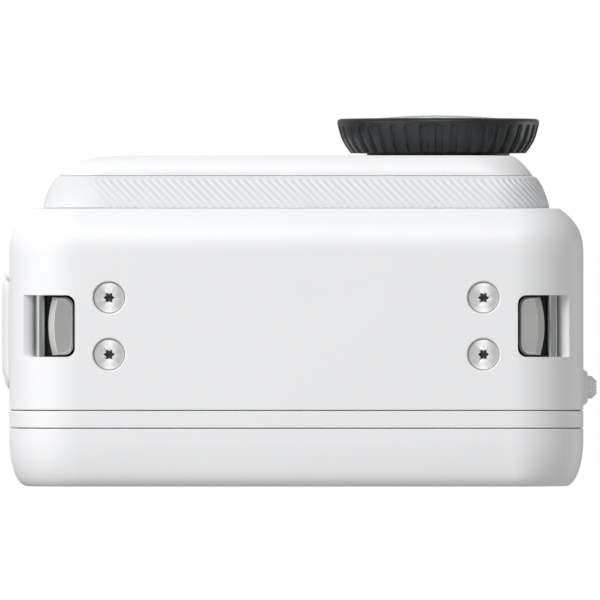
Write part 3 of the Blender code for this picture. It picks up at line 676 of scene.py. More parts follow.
cover_sections = [(FIRST_SEAM + SEAM, body_sides(NOTCH), CORNER - NOTCH),
                  (FIRST_SEAM + SEAM + NOTCH, body_sides(0), CORNER),
                  (SECOND_SEAM - SEAM - NOTCH, body_sides(0), CORNER),
                  (SECOND_SEAM - SEAM, body_sides(NOTCH), CORNER - NOTCH)]
cover = loft("rear_cover_shell", cover_sections, WHITE, 20)
def hinge_bores():
    return [knuckle("bore_left", -PIN_BORE_END, -PIN_BORE_START, PIN_BORE, 24),
            knuckle("bore_right", PIN_BORE_START, PIN_BORE_END, PIN_BORE, 24)]


boolean(cover, [knuckle("left", -OUTER_KNUCKLE, -CENTRE_KNUCKLE - KNUCKLE_GAP, KNUCKLE),
                knuckle("right", CENTRE_KNUCKLE + KNUCKLE_GAP, OUTER_KNUCKLE, KNUCKLE)], "UNION")
room = knuckle("room", -CENTRE_KNUCKLE - KNUCKLE_GAP, CENTRE_KNUCKLE + KNUCKLE_GAP, KNUCKLE + KNUCKLE_GAP)
cover_cuts = [room] + hinge_bores()
cover_cuts.append(box("flex_slot", mm(-5.3, 7.3, 46.9), mm(5.3, 15.8, 47.8)))
for x in COVER_SCREW_X:
    for z in COVER_SCREW_Z:
        profile = [(0, -11.09), (1.2, -11.09), (1.2, -9), (0, -9)]
        cover_cuts.append(lathe("hole", profile, mm(x, 0, z), None, "front", 24))
        cover_cuts.append(lathe("seat", [(0, -13), (1.95, -13), (1.95, -11.09), (0, -11.09)], mm(x, 0, z), None,
                                "front", 48))
boolean(cover, cover_cuts)
soften(cover, 0.05, 2, 40)
place(cover, "camera_body", "white_shell", "rear_cover")

# %% [markdown]
# ## Flip screen
# The screen's tray is the thickest white piece at the rear. Its outer edge rolls over in a quarter ellipse,
# so one sine and one cosine give all its sections. Black glass lies in a seat with a thin even gap.

# %% Screen tray and glass
TRAY_TOP = screen_high.z - (KNUCKLE + KNUCKLE_GAP) * MM
ROLL_INSET = 2.13 * MM
ROLL_DEPTH = 5.6 * MM
ROLL_STEPS = 16
tray_front = SECOND_SEAM + SEAM
tray_sections = [(tray_front, body_sides(NOTCH, TRAY_TOP), CORNER - NOTCH),
                 (tray_front + NOTCH, body_sides(0, TRAY_TOP), CORNER)]
for step in range(ROLL_STEPS + 1):
    angle = math.pi / 2 * step / ROLL_STEPS
    inset = ROLL_INSET * (1 - math.cos(angle))
    y = SCREEN_REAR - ROLL_DEPTH * (1 - math.sin(angle))
    tray_sections.append((y, body_sides(inset, TRAY_TOP), CORNER - inset))
tray = loft("screen_tray", tray_sections, WHITE, 20)
glass_low, glass_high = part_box("screen_glass")
FIT = 0.09 * MM
seat_low = Vector((glass_low.x - FIT, 17.9 * MM, glass_low.z - FIT))
seat_high = Vector((glass_high.x + FIT, 22 * MM, glass_high.z + FIT))
tray_cuts = [box("cavity", mm(-30.5, 13.9, 4), mm(30.5, 22, 46), radius=3 * MM),
             box("seat", seat_low, seat_high, radius=5.3 * MM, segments=12),
             knuckle("left", -OUTER_KNUCKLE - KNUCKLE_GAP, -CENTRE_KNUCKLE, KNUCKLE + KNUCKLE_GAP),
             knuckle("right", CENTRE_KNUCKLE, OUTER_KNUCKLE + KNUCKLE_GAP, KNUCKLE + KNUCKLE_GAP)]
boolean(tray, tray_cuts)
boolean(tray, [knuckle("centre", -CENTRE_KNUCKLE, CENTRE_KNUCKLE, KNUCKLE)], "UNION")
boolean(tray, hinge_bores())
soften(tray, 0.05, 2, 40)
place(tray, "flip_screen", "white_shell", "screen_frame")

glass = box("screen_cover_glass", glass_low, glass_high, REAR_GLASS, 5.2 * MM, "Y", 12)
soften(glass, 0.22, 3)
place(glass, "flip_screen", "screen_black", "screen_glass")

# %% [markdown]
# ## Fascia
# The fascia is the plain face of the raised front. Its left end sweeps back over eight millimetres, its right
# end slopes, and its long edges turn over quickly. The outline helper takes four separate sides, so one
# quarter ellipse with its own reach for each side makes them all.

# %% Fascia
FASCIA_BACK = 18.08
FASCIA_FRONT = 20.48
FASCIA_HALF = 28.38
SHORT_REACH = 2.3
LONG_REACH = 7.9
RIGHT_SLOPE = 1.6
RIGHT_REACH = 1.0
FASCIA_STEPS = 18


def fascia_sections():
    base_inset = HALF_WIDTH / MM - FASCIA_HALF
    sections = []
    for step in range(FASCIA_STEPS + 1):
        angle = math.pi / 2 * step / FASCIA_STEPS
        forward = FASCIA_BACK + (FASCIA_FRONT - FASCIA_BACK) * math.sin(angle)
        turn = 1 - math.cos(angle)
        short = SHORT_REACH * turn
        long = LONG_REACH * turn
        slope = RIGHT_SLOPE * math.sin(angle) + RIGHT_REACH * turn
        sides = (long - FASCIA_HALF, FASCIA_HALF - slope, base_inset + short, HEIGHT / MM - base_inset - short)
        radius = 5.4 + 2.2 * turn
        sections.append((-forward * MM, tuple(side * MM for side in sides), radius * MM))
    return sections


fascia = loft("front_fascia_cap", fascia_sections(), WHITE, 20)
window_low, window_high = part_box("display_window")
window_room = box("window_room", window_low - mm(0.12, 3, 0.12), window_high + mm(0.12, 4, 0.12), radius=1.6 * MM,
                  segments=8)
lens_room = lathe("lens_room", [(0, 25), (8.85, 25), (8.85, 14), (0, 14)], LENS)
mesh_low, mesh_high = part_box("wind_mesh")
mesh_middle = (mesh_low + mesh_high) / 2
light_low, light_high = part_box("status_light")
light_middle = (light_low + light_high) / 2
mesh_room = lathe("mesh_room", [(0, 8), (1.95, 8), (1.95, -8), (0, -8)], mesh_middle, None, "front", 48)
light_room = lathe("light_room", [(0, 8), (0.85, 8), (0.85, -8), (0, -8)], light_middle, None, "front", 32)
boolean(fascia, [window_room, lens_room, mesh_room, light_room])
soften(fascia, 0.08, 2, 40)
place(fascia, "camera_body", "white_shell", "front_fascia")

window = box("front_window", window_low, window_high, FRONT_GLASS, 1.5 * MM, "Y", 8)
soften(window, 0.15, 3)
place(window, "camera_body", "screen_black", "display_window")

# %% [markdown]
# ## Bands that follow a path
# The grooved trim and the lens guard are the same idea: a profile carried round a closed path, with a relief
# pressed into it. Geometry Nodes does this with a flat grid, whose X becomes the way round and whose Y
# becomes the way along the profile. Two curves say what the path and the profile are, and a relief function
# says how far each point is pushed out.

# %% A Geometry Nodes sweep with relief
SOCKETS = {int: "NodeSocketInt", float: "NodeSocketFloat"}


def poly_curve(name, points):
    """A closed curve through points (x, y, z) in metres, which the node trees read."""
    data = bpy.data.curves.new(name, "CURVE")
    data.dimensions = "3D"
    spline = data.splines.new("POLY")
    spline.points.add(len(points) - 1)
    for point, place_at in zip(spline.points, points):
        point.co = (*place_at, 1)
    spline.use_cyclic_u = True
    curve = bpy.data.objects.new(name, data)
    bpy.context.scene.collection.objects.link(curve)
    return curve


def geometry_tree(name, inputs):
    """An empty Geometry Nodes tree with these named inputs. It also returns a Value for each input."""
    group = bpy.data.node_groups.new(name, "GeometryNodeTree")
    tree = Tree(group)
    group.interface.new_socket("Geometry", in_out="OUTPUT", socket_type="NodeSocketGeometry")
    for key, value in inputs.items():
        if isinstance(value, bpy.types.Object):
            kind = "NodeSocketObject"
        elif isinstance(value, bpy.types.Material):
            kind = "NodeSocketMaterial"
        else:
            kind = SOCKETS[type(value)]
        group.interface.new_socket(key, in_out="INPUT", socket_type=kind)
    entry = group.nodes.new("NodeGroupInput")
    return group, tree, {key: Value(tree, entry.outputs[key]) for key in inputs}


def end_tree(tree, geometry, material):
    """Every tree ends the same way: instances made real, then one material."""
    real = tree.add("GeometryNodeRealizeInstances", None, {0: geometry})
    dressed = tree.add("GeometryNodeSetMaterial", None, {"Geometry": real, "Material": material})
    exit_node = tree.tree.nodes.new("NodeGroupOutput")
    tree.tree.links.new(dressed.socket, exit_node.inputs[0])


def grow(name, group, inputs):
    """Runs a tree on an empty mesh with these inputs, and bakes what it makes."""
    obj = bpy.data.objects.new(name, bpy.data.meshes.new(name))
    bpy.context.scene.collection.objects.link(obj)
    modifier = obj.modifiers.new(group.name, "NODES")
    modifier.node_group = group
    identifiers = {item.name: item.identifier for item in group.interface.items_tree if item.in_out == "INPUT"}
    for key, value in inputs.items():
        modifier[identifiers[key]] = value
    bake(obj)
    obj.data.materials.clear()
    obj.data.materials.append(inputs["Material"])
    for face in obj.data.polygons:
        face.material_index = 0
    return obj


def sweep_tree(name, inputs, relief):
    """The sweep. relief(tree, way round 0-1, profile x, profile y, inputs) is how far a point moves out."""
    group, tree, value = geometry_tree(name, inputs)
    grid_inputs = {"Size X": 1.0, "Size Y": 1.0, "Vertices X": value["Columns"] + 1, "Vertices Y": value["Rows"] + 1}
    grid = tree.add("GeometryNodeMeshGrid", None, grid_inputs)
    x, y, _ = tree.xyz(tree.add("GeometryNodeInputPosition"))
    around = x + 0.5
    share = (y + 0.5) / value["Fine share"]
    fine = share.maths("MINIMUM", share, 1.0) * value["Fine length"]
    coarse = (share - 1.0).at_least(0.0) / (1.0 / value["Fine share"] - 1.0) * (1.0 - value["Fine length"])
    outlines = {}
    for key, factor in (("Path", around), ("Profile", fine + coarse)):
        shape = tree.add("GeometryNodeObjectInfo", None, {"Object": value[key]}).out("Geometry")
        outlines[key] = tree.add("GeometryNodeSampleCurve", {"mode": "FACTOR", "use_all_curves": True},
                                 {"Curves": shape, "Factor": factor}).out("Position")
        if key == "Path":
            tangent = outlines[key].out("Tangent")
    tangent_x, _, tangent_z = tree.xyz(tangent)
    path_x, _, path_z = tree.xyz(outlines["Path"])
    profile_x, profile_y, _ = tree.xyz(outlines["Profile"])
    push = relief(tree, around, profile_x, profile_y, value)
    outwards = profile_x + push * value["Push out"]
    position = tree.join(path_x + tangent_z * outwards, profile_y - push * value["Push front"],
                         path_z - tangent_x * outwards)
    bent = tree.add("GeometryNodeSetPosition", None, {"Geometry": grid, "Position": position})
    closed = tree.add("GeometryNodeMergeByDistance", None, {"Geometry": bent, "Distance": 0.002 * MM})
    smooth = tree.add("GeometryNodeSetShadeSmooth", None, {"Geometry": closed})
    end_tree(tree, smooth, value["Material"])
    return group


def lengths(points):
    """How long a closed outline is, and how long each of its sides is."""
    sides = [(Vector(b) - Vector(a)).length for a, b in zip(points, points[1:] + points[:1])]
    return sum(sides), sides


def face_out(obj):
    """Turns a baked closed mesh the right way out."""
    shape = bmesh.new()
    shape.from_mesh(obj.data)
    bmesh.ops.recalc_face_normals(shape, faces=shape.faces)
    if shape.calc_volume(signed=True) < 0:
        bmesh.ops.reverse_faces(shape, faces=shape.faces)
    shape.to_mesh(obj.data)
    shape.free()


# %% [markdown]
# ## Grooved trim
# The band round the raised front is covered in fine grooves that climb at 45 degrees, about a millimetre
# apart. They stop short of the fascia, where a plain strip is left, and they fade out before the left end.
# Each groove is a skewed wave: a slow rise and a quick fall.

# %% Grooved trim
TRIM_PROFILE = [(30.42, -14.16), (30.30, -14.9), (30.06, -15.6), (29.62, -16.7), (29.18, -17.45), (28.80, -17.85),
                (28.36, -18.04), (26.6, -18.04), (26.6, -14.5), (27.6, -14.16)]
TRIM_BASE = 30.42
TRIM_CORNER = 6.8
GROOVE_PITCH = 0.948
TRIM_FINE_SIDES = 6
trim_inset = HALF_WIDTH / MM - TRIM_BASE
trim_outline = outline(-TRIM_BASE, TRIM_BASE, trim_inset, HEIGHT / MM - trim_inset, TRIM_CORNER, 24)
trim_path = poly_curve("trim_path", [(x * MM, 0, z * MM) for x, z in trim_outline])
trim_profile = poly_curve("trim_profile", [((x - TRIM_BASE) * MM, y * MM, 0) for x, y in TRIM_PROFILE])
round_length, _ = lengths([(x, 0, z) for x, z in trim_outline])
profile_length, sides = lengths([(x, y, 0) for x, y in TRIM_PROFILE])
grooves = round(round_length / GROOVE_PITCH)


def slanted_grooves(tree, around, profile_x, profile_y, value):
    turn = (around * value["Grooves"] - profile_y / value["Pitch"]) * (2 * math.pi)
    wave = turn.sine() * 0.8 + (turn * 2.0).sine() * 0.22
    strip = (profile_y * -1.0).step(17.70 * MM, 17.45 * MM)
    front_band = profile_x.step(-2.9 * MM, -2.5 * MM)
    path_x = tree.xyz(tree.add("GeometryNodeSampleCurve", {"mode": "FACTOR", "use_all_curves": True},
                               {"Curves": tree.add("GeometryNodeObjectInfo", None,
                                                   {"Object": value["Path"]}).out("Geometry"),
                                "Factor": around}).out("Position"))[0]
    right_part = path_x.step(-26.0 * MM, -21.5 * MM)
    return (wave - 1.0) * strip * front_band * right_part * value["Depth"]


trim_inputs = {"Path": trim_path, "Profile": trim_profile, "Columns": grooves * 9, "Rows": 36,
               "Fine share": 28 / 36, "Fine length": sum(sides[:TRIM_FINE_SIDES]) / profile_length,
               "Grooves": grooves, "Pitch": GROOVE_PITCH * MM, "Depth": 0.10 * MM,
               "Push out": 0.89, "Push front": 0.46, "Material": TRIM}
trim_group = sweep_tree("grooved_band", trim_inputs, slanted_grooves)
trim = grow("grooved_front_trim", trim_group, trim_inputs)
face_out(trim)
place(trim, "camera_body", "trim_white", "grooved_trim")
print(grooves, "grooves round", round(round_length, 1), "mm")

# %% [markdown]
# ## Lens guard
# The guard is a dark ring with forty shallow flutes for the fingers. A flute is a slot with a round top, open
# at the back edge, so its relief is a rounded slot's distance in the unrolled surface, with a thin soft wall.

# %% Fluted guard ring
GUARD_PROFILE = [(10.62, -20.92), (11.0, -21.4), (11.36, -21.95), (11.62, -22.4), (11.82, -22.9), (12.0, -23.5),
                 (12.15, -24.1), (12.25, -24.55), (12.22, -24.82), (12.06, -25.00), (11.84, -25.08),
                 (9.6, -25.04), (9.0, -24.86), (9.0, -21.1), (9.2, -20.92)]
GUARD_FINE_SIDES = 10
FLUTES = 40
FLUTE_WIDTH = 0.86
FLUTE_TOP = 24.28
FLUTE_WALL = 0.06
GUARD_REFERENCE = 11.0
circle = []
for step in range(360):
    angle = 2 * math.pi * step / 360
    circle.append(LENS + Vector((math.cos(angle), 0, math.sin(angle))) * GUARD_REFERENCE * MM)
guard_path = poly_curve("guard_path", circle)
guard_profile = poly_curve("guard_profile", [((x - GUARD_REFERENCE) * MM, y * MM, 0) for x, y in GUARD_PROFILE])
guard_length, sides = lengths([(x, y, 0) for x, y in GUARD_PROFILE])


def flutes(tree, around, profile_x, profile_y, value):
    radius = profile_x + GUARD_REFERENCE * MM
    turn = (around * value["Flutes"] + 0.5).fraction() - 0.5
    across = turn * radius * (2 * math.pi) / value["Flutes"]
    half = value["Flute width"] / 2
    above = (profile_y * -1.0 - (FLUTE_TOP * MM - half)).at_least(0.0)
    away = (across * across + above * above) ** 0.5 - half
    inside = away.step(FLUTE_WALL * MM, 0.0)
    outer_side = radius.step(10.3 * MM, 10.5 * MM)
    shallower = (profile_y * -1.0).step(25.2 * MM, 21.5 * MM) * 0.5 + 0.5
    return inside * outer_side * shallower * value["Depth"] * -1.0


guard_inputs = {"Path": guard_path, "Profile": guard_profile, "Columns": FLUTES * 30, "Rows": 64,
                "Fine share": 50 / 64, "Fine length": sum(sides[:GUARD_FINE_SIDES]) / guard_length,
                "Flutes": FLUTES, "Flute width": FLUTE_WIDTH * MM, "Depth": 0.45 * MM,
                "Push out": 1.0, "Push front": 0.0, "Material": GUARD_GREY}
guard_group = sweep_tree("fluted_ring", guard_inputs, flutes)
guard = grow("fluted_guard_ring", guard_group, guard_inputs)
face_out(guard)
place(guard, "guard", "guard_metal", "guard_ring")
for guide in (trim_path, trim_profile, guard_path, guard_profile):
    bpy.data.objects.remove(guide)

# %% [markdown]
# The guard's glass swells gently through the front of the ring. It is a lathe job, as is all of the lens.

# %% Guard glass, seal and lens
glass_profile = []
for step in range(15):
    radius = 8.3 * step / 14
    glass_profile.append((radius, 25.5 - radius ** 2 / 153))
glass_profile += [(8.75, 24.93), (8.85, 24.75), (8.85, 23.9), (8.2, 23.9)]
for step in range(12, -1, -1):
    radius = 8.0 * step / 12
    glass_profile.append((radius, 24.4 - radius ** 2 / 153))
guard_glass = lathe("guard_glass_dome", glass_profile, LENS, GUARD_GLASS)
soften(guard_glass, 0)
place(guard_glass, "guard", "clear_glass", "guard_glass")

seal = lathe("guard_seal_ring", [(8.7, 22.0), (8.5, 22.2), (8.1, 22.2), (7.9, 22.0), (7.9, 21.1), (8.1, 20.95),
                                 (8.5, 20.95), (8.7, 21.1)], LENS, RUBBER)
soften(seal, 0)
place(seal, "guard_carrier", "dark_rubber", "guard_seal")

COLLAR = 8.64
collar = lathe("lens_neck", [(6.9, 23.4), (7.45, 23.4), (7.6, 23.25), (7.6, 20.93), (8.6, 20.93), (COLLAR, 20.88),
                             (COLLAR, 14.6), (6.9, 14.6)], LENS, POCKET_BLACK)
soften(collar, 0)
place(collar, "camera_body", "black_plastic", "lens_collar")

# A stepped baffle keeps stray light off the front element.
baffle = [(6.6, 23.0), (6.6, 2.0), (5.2, 2.0), (5.2, 20.4)]
BAFFLE_STEPS = 6
for step in range(BAFFLE_STEPS):
    radius = 5.2 + step * 0.2
    level = 20.4 + step * 0.42
    baffle += [(radius + 0.14, level), (radius + 0.2, level + 0.42)]
baffle = [baffle[0]] + list(reversed(baffle[1:]))
barrel = lathe("stepped_lens_barrel", baffle, LENS, POCKET_BLACK)
soften(barrel, 0)
place(barrel, "camera_body", "black_plastic", "lens_barrel")

element = []
for step in range(17):
    radius = 5.2 * step / 16
    element.append((radius, 22.0 - 1.9 * (radius / 5.2) ** 2))
element += [(5.2, 19.4), (0, 19.0)]
front_element = lathe("coated_front_lens", element, LENS, LENS_GLASS)
soften(front_element, 0)
place(front_element, "camera_body", "clear_glass", "front_lens")

rear_group = lathe("rear_lens_cell", [(0, 4.6), (3.4, 4.2), (3.8, 4.0), (5.3, 4.0), (5.5, 4.2), (5.5, 12.8),
                                      (5.3, 13.0), (4.4, 13.0), (4.2, 12.6), (0, 12.2)], LENS, LENS_GLASS)
soften(rear_group, 0)
place(rear_group, "camera_body", "clear_glass", "rear_lens_group")

# %% [markdown]
# ## Base hardware
# The claws bear on two steel plates. Each has a flat face, a wide bevel along its bowed side and a thin
# flange, so that the gap around it reads as two dark lines with a light one between. Behind it runs the
# catch pin, and behind that a black block with a channel for the pin: painted shade, a dark thing put
# in the deep pocket where there is only shade.

# %% Catch plates, pins and painted shade blocks
PLATE_END = 3.35
PLATE_CORNER = 1.05
PLATE_SECTIONS = [(0.90, 0.16, 28.50, 0.42), (0.93, 0.06, 28.58, 0.44), (1.02, 0.0, 28.66, 0.45),
                  (1.45, 0.0, 29.16, 0.50), (1.55, 0.0, 29.2, 0.5), (1.6, -0.13, 29.2, 0.5), (3.1, -0.13, 29.2, 0.5)]


def plate_outline(inset, bow_start, bow):
    """Points (x, y) of a plate: a bowed outer side, a straight inner one and two round corners."""
    points = []
    inner = 26.85 + inset
    end = PLATE_END - inset
    for step in range(13):
        share = step / 12 * 2 - 1
        points.append((bow_start + bow * (1 - share ** 2), share * end))
    for corner in (1, -1):
        for step in range(7):
            angle = math.pi / 2 * (step / 6 if corner == 1 else 1 - step / 6)
            points.append((inner + PLATE_CORNER * (1 - math.sin(angle)),
                           corner * (end - PLATE_CORNER * (1 - math.cos(angle)))))
    return points


for side, name in ((-1, "left"), (1, "right")):
    shape = bmesh.new()
    skin(shape, [[Vector((side * x, y, z)) * MM for x, y in plate_outline(inset, start, bow)]
                 for z, inset, start, bow in PLATE_SECTIONS])
    plate = new_object(f"catch_plate_{name}", shape, CATCH_STEEL)
    soften(plate, 0.035, 2, 25)
    place(plate, "camera_body", "steel", f"catch_{name}")
    low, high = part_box(f"catch_pin_{name}")
    half = (high.y - low.y) / 2 / MM
    pin = lathe(f"ground_pin_{name}", [(0, half), (0.5, half), (0.63, half - 0.13), (0.63, 0.13 - half), (0.5, -half),
                                       (0, -half)], (low + high) / 2, PIN_STEEL, "front", 48)
    soften(pin, 0)
    place(pin, "camera_body", "steel", f"catch_pin_{name}")
    # Painted shade: a black block set into the upper pocket so that the deep slot reads dark.
    shape = bmesh.new()
    rings = []
    for z, inset in ((4.05, 0.3), (4.2, 0.12), (7.1, 0.12), (7.15, 0.2)):
        rings.append([Vector((side * (x * 0.985 + 0.4), y * 0.97, z)) * MM for x, y in slot_outline(31.15 - inset)])
    skin(shape, rings)
    block = new_object(f"spring_block_{name}", shape, POCKET_BLACK)
    channel = lathe("channel", [(0, 5), (0.75, 5), (0.75, -5), (0, -5)], mm(side * 30.62, 0, 3.9), None, "front", 24)
    boolean(block, [channel])
    soften(block, 0.04, 1)
    place(block, "camera_body", "black_plastic")

# %% [markdown]
# The screws are cut from one recipe: a chamfered head, a shank and a six-pointed driver recess. Each stays its
# own object, because its brushed shine turns about its own middle.

# %% Screws
def star_points(tip, root):
    """A star's corners (x, y): tip, flank, root, flank, six times round."""
    points = []
    for step in range(24):
        angle = math.pi * 2 * step / 24
        radius = (tip, (tip + root) / 2.08, root, (tip + root) / 2.08)[step % 4]
        points.append((radius * math.cos(angle), radius * math.sin(angle)))
    return points


def make_screw(name, spot, head_radius, length, to_rear=False):
    """A screw whose head faces away from its shank. The spot is the middle of the head's face, in metres."""
    profile = [(0, 0.0), (head_radius - 0.18, 0.0), (head_radius - 0.08, 0.03), (head_radius - 0.02, 0.09),
               (head_radius, 0.2), (head_radius, 0.95), (head_radius - 0.05, 1.0), (0.9, 1.0), (0.9, length - 0.2),
               (0.7, length), (0, length)]
    screw = lathe(name, profile, (0, 0, 0), SCREW_STEEL, "up", 72)
    shape = bmesh.new()
    levels = ((-0.5, 1.1), (0.0, 1.06), (0.16, 1.0), (0.62, 0.94))
    skin(shape, [[Vector((x * k, y * k, z)) * MM for x, y in star_points(0.66, 0.43)] for z, k in levels])
    star = new_object("star", shape)
    boolean(screw, [star])
    soften(screw, 0.02, 1, 40)
    # The depth attribute feeds the painted shade that darkens each driver recess.
    levels = screw.data.attributes.new("depth", "FLOAT", "POINT")
    for point, vertex in zip(levels.data, screw.data.vertices):
        point.value = vertex.co.z / MM
    if to_rear:
        screw.data.transform(Matrix.Rotation(math.pi / 2, 4, "X"))
    screw.data.transform(Matrix.Translation(spot))
    return screw


BASE_HEAD = 1.85
BASE_HEAD_DEPTH = 0.36 * MM
BASE_SCREW_LENGTH = 5.4
COVER_HEAD = 1.65
for number in range(1, 5):
    low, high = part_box(f"base_screw_{number}")
    spot = Vector(((low.x + high.x) / 2, (low.y + high.y) / 2, BASE_HEAD_DEPTH))
    screw = make_screw(f"base_screw_turned_{number}", spot, BASE_HEAD, BASE_SCREW_LENGTH)
    place(screw, "camera_body", "steel", f"base_screw_{number}")
for number in range(1, 5):
    low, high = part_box(f"cover_screw_{number}")
    spot = Vector(((low.x + high.x) / 2, high.y, (low.z + high.z) / 2))
    length = (high.y - low.y) / MM
    screw = make_screw(f"cover_screw_turned_{number}", spot, COVER_HEAD, length, to_rear=True)
    place(screw, "camera_body", "steel", f"cover_screw_{number}")

# %% [markdown]
# ## Hinges, battery door and latch
# Both hinges are plain steel pins with chamfered ends. The battery door is stepped: a plate with long
# chamfers, a raised panel, and a plug behind it that carries the seal. The latch is a small ribbed slide.

# %% Hinge pins
for name in ("hinge_pin_left", "hinge_pin_right"):
    low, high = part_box(name)
    half = (high.x - low.x) / 2 / MM
    pin = lathe(f"steel_{name}", [(0, -half), (0.55, -half), (0.7, 0.15 - half), (0.7, half - 0.15), (0.55, half),
                                  (0, half)], (low + high) / 2, PIN_STEEL, "right", 40)
    soften(pin, 0)
    place(pin, "camera_body", "steel", name)
half = (door_pin_high.z - door_pin_low.z) / 2 / MM
pin = lathe("steel_door_pin", [(0, -half), (0.22, -half), (0.3, 0.08 - half), (0.3, half - 0.08), (0.22, half),
                               (0, half)], DOOR_AXIS, PIN_STEEL, "up", 24)
soften(pin, 0)
place(pin, "camera_body", "steel", "door_hinge_pin")


# %% Battery door
def stack_along_x(name, sections, material, arc_steps=10):
    """Sections are (x, (y low, y high, z low, z high), corner radius), all in millimetres."""
    shape = bmesh.new()
    rings = []
    for x, (y_low, y_high, z_low, z_high), radius in sections:
        rings.append([mm(x, y, z) for y, z in outline(y_low, y_high, z_low, z_high, radius, arc_steps)])
    skin(shape, rings)
    return new_object(name, shape, material)


door = stack_along_x("stepped_battery_door", [
    (-32.6, (-4.1, 4.9, 15.1, 36.9), 1.1), (-32.8, (-4.3, 5.1, 14.9, 37.1), 1.3),
    (-34.16, (-4.3, 5.1, 14.9, 37.1), 1.3), (-34.17, (-6.2, 7.5, 12.05, 39.95), 2.1),
    (-34.62, (-6.28, 7.56, 12.0, 40.0), 2.1), (-34.98, (-5.9, 7.0, 12.5, 39.5), 1.9),
    (-35.12, (-5.5, 6.3, 13.0, 39.0), 1.7), (-35.22, (-5.25, 5.9, 13.4, 38.6), 1.6),
    (-35.39, (-4.95, 5.55, 13.75, 38.25), 1.4)], WHITE)
pin_room = lathe("pin_room", [(0, 15), (0.34, 15), (0.34, -15), (0, -15)], DOOR_AXIS, None, "up", 20)
door_knuckle = lathe("door_knuckle", [(0, -12), (0.5, -12), (DOOR_KNUCKLE, -11.82), (DOOR_KNUCKLE, 11.82), (0.5, 12),
                                      (0, 12)], DOOR_AXIS, None, "up", 40)
ear_rooms = []
for end in (-1, 1):
    profile = [(0, -1.0), (0.98, -1.0), (0.98, 1.0), (0, 1.0)]
    ear_rooms.append(lathe("ear_room", profile, DOOR_AXIS + mm(0, 0, end * 13.02), None, "up", 24))
boolean(door, [door_knuckle], "UNION")
track = box("track", mm(-36, -1.75, 23.95), mm(-34.9, 2.75, 34.05), radius=0.5 * MM, along="X")
boolean(door, ear_rooms + [track, pin_room])
soften(door, 0.05, 2, 30)
place(door, "door", "white_shell", "battery_door")

# %% [markdown]
# The door's gasket is a rubber loop round the plug. Its section is a small rounded block, so four rings on
# the outside and four on the inside, joined all the way round, make it one closed body.

# %% Door gasket
GASKET_OUTSIDE = (-5.07, 5.92, 13.98, 38.02)
GASKET_INSIDE = (-4.63, 5.43, 14.57, 37.43)
GASKET_ROUND = ((-34.0, 0.0), (-33.88, 0.08), (-33.62, 0.08), (-33.5, 0.0))


def gasket_ring(x, sides, grow_by, radius):
    left, right, bottom, top = sides
    edge = outline(left - grow_by, right + grow_by, bottom - grow_by, top + grow_by, radius, 10)
    return [mm(x, y, z) for y, z in edge]


shape = bmesh.new()
rings = [gasket_ring(x, GASKET_OUTSIDE, swell, 1.6) for x, swell in GASKET_ROUND]
rings += [gasket_ring(x, GASKET_INSIDE, -swell, 1.3) for x, swell in reversed(GASKET_ROUND)]
skin(shape, rings, closed=True)
door_gasket = new_object("door_gasket", shape, RUBBER)
soften(door_gasket, 0)
place(door_gasket, "door", "dark_rubber", "door_seal")

# %% Latch slide
latch_low, latch_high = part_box("door_latch")
latch = box("ribbed_door_latch", latch_low, latch_high, WHITE, 0.5 * MM, "X")
LATCH_GROOVE_PITCH = 0.8
LATCH_GROOVES = 5
latch_middle = (latch_low + latch_high) / 2
latch_cuts = []
for number in range(LATCH_GROOVES):
    z = (number - (LATCH_GROOVES - 1) / 2) * LATCH_GROOVE_PITCH
    profile = [(0, -1.3), (0.2, -1.3), (0.2, 1.3), (0, 1.3)]
    latch_cuts.append(lathe("groove", profile, Vector((latch_low.x, latch_middle.y, latch_middle.z + z * MM)), None,
                            "front", 16))
boolean(latch, latch_cuts)
soften(latch, 0.08, 2, 35)
place(latch, "latch", "white_shell", "door_latch")

# %% [markdown]
# ## Buttons
# The power button is a ridged pill that passes through a chamfered collar. Its ridges are bars that Geometry
# Nodes set out along a line, joined to the cap's end. The shutter button is a black dished disc in an
# aluminium ring.

# %% Power collar and button
def pill_section(x, half_depth, half_height):
    sides = (POWER_Y - half_depth, POWER_Y + half_depth, POWER_Z - half_height, POWER_Z + half_height)
    return x, sides, min(half_depth, half_height) - 0.002


power_collar = stack_along_x("chamfered_power_collar", [
    pill_section(32.66, 1.95, 4.8), pill_section(34.40, 1.95, 4.8), pill_section(34.42, 2.32, 5.17),
    pill_section(34.62, 2.32, 5.17), pill_section(35.22, 1.88, 4.73), pill_section(35.30, 1.76, 4.61)], WHITE, 16)
collar_bore = stack_along_x("collar_bore", [pill_section(32, 1.5, 4.2), pill_section(36, 1.5, 4.2)], None, 16)
boolean(power_collar, [collar_bore])
soften(power_collar, 0.03, 2, 25)
place(power_collar, "camera_body", "white_shell", "power_collar")

RIDGE_PITCH = 0.35
RIDGE_RADIUS = 0.12
BUTTON_END = 36.3
button_cap = stack_along_x("ridged_power_button", [
    pill_section(31.56, 1.2, 3.9), pill_section(31.7, 1.37, 4.05), pill_section(35.75, 1.37, 4.05),
    pill_section(35.84, 1.33, 4.01), pill_section(36.22, 0.95, 3.63),
    pill_section(BUTTON_END, 0.86, 3.54)], WHITE, 16)
ridge_inputs = {"Count": 5, "Pitch": RIDGE_PITCH * MM, "Radius": RIDGE_RADIUS * MM, "Length": 6.6 * MM,
                "X": BUTTON_END * MM, "Middle Y": POWER_Y * MM, "Middle Z": POWER_Z * MM, "Material": WHITE}
ridge_group, tree, value = geometry_tree("row_of_ridges", ridge_inputs)
bar = tree.add("GeometryNodeMeshCylinder", {"fill_type": "TRIANGLE_FAN"},
               {"Vertices": 12, "Radius": value["Radius"], "Depth": value["Length"]})
first = value["Middle Y"] - value["Pitch"] * (value["Count"] - 1) / 2
row = tree.add("GeometryNodeMeshLine", {"mode": "OFFSET"},
               {"Count": value["Count"], "Start Location": tree.join(value["X"], first, value["Middle Z"]),
                "Offset": tree.join(0.0, value["Pitch"], 0.0)})
bars = tree.add("GeometryNodeInstanceOnPoints", None, {"Points": row, "Instance": bar})
end_tree(tree, bars, value["Material"])
ridges = grow("ridges", ridge_group, ridge_inputs)
boolean(button_cap, [ridges], "UNION")
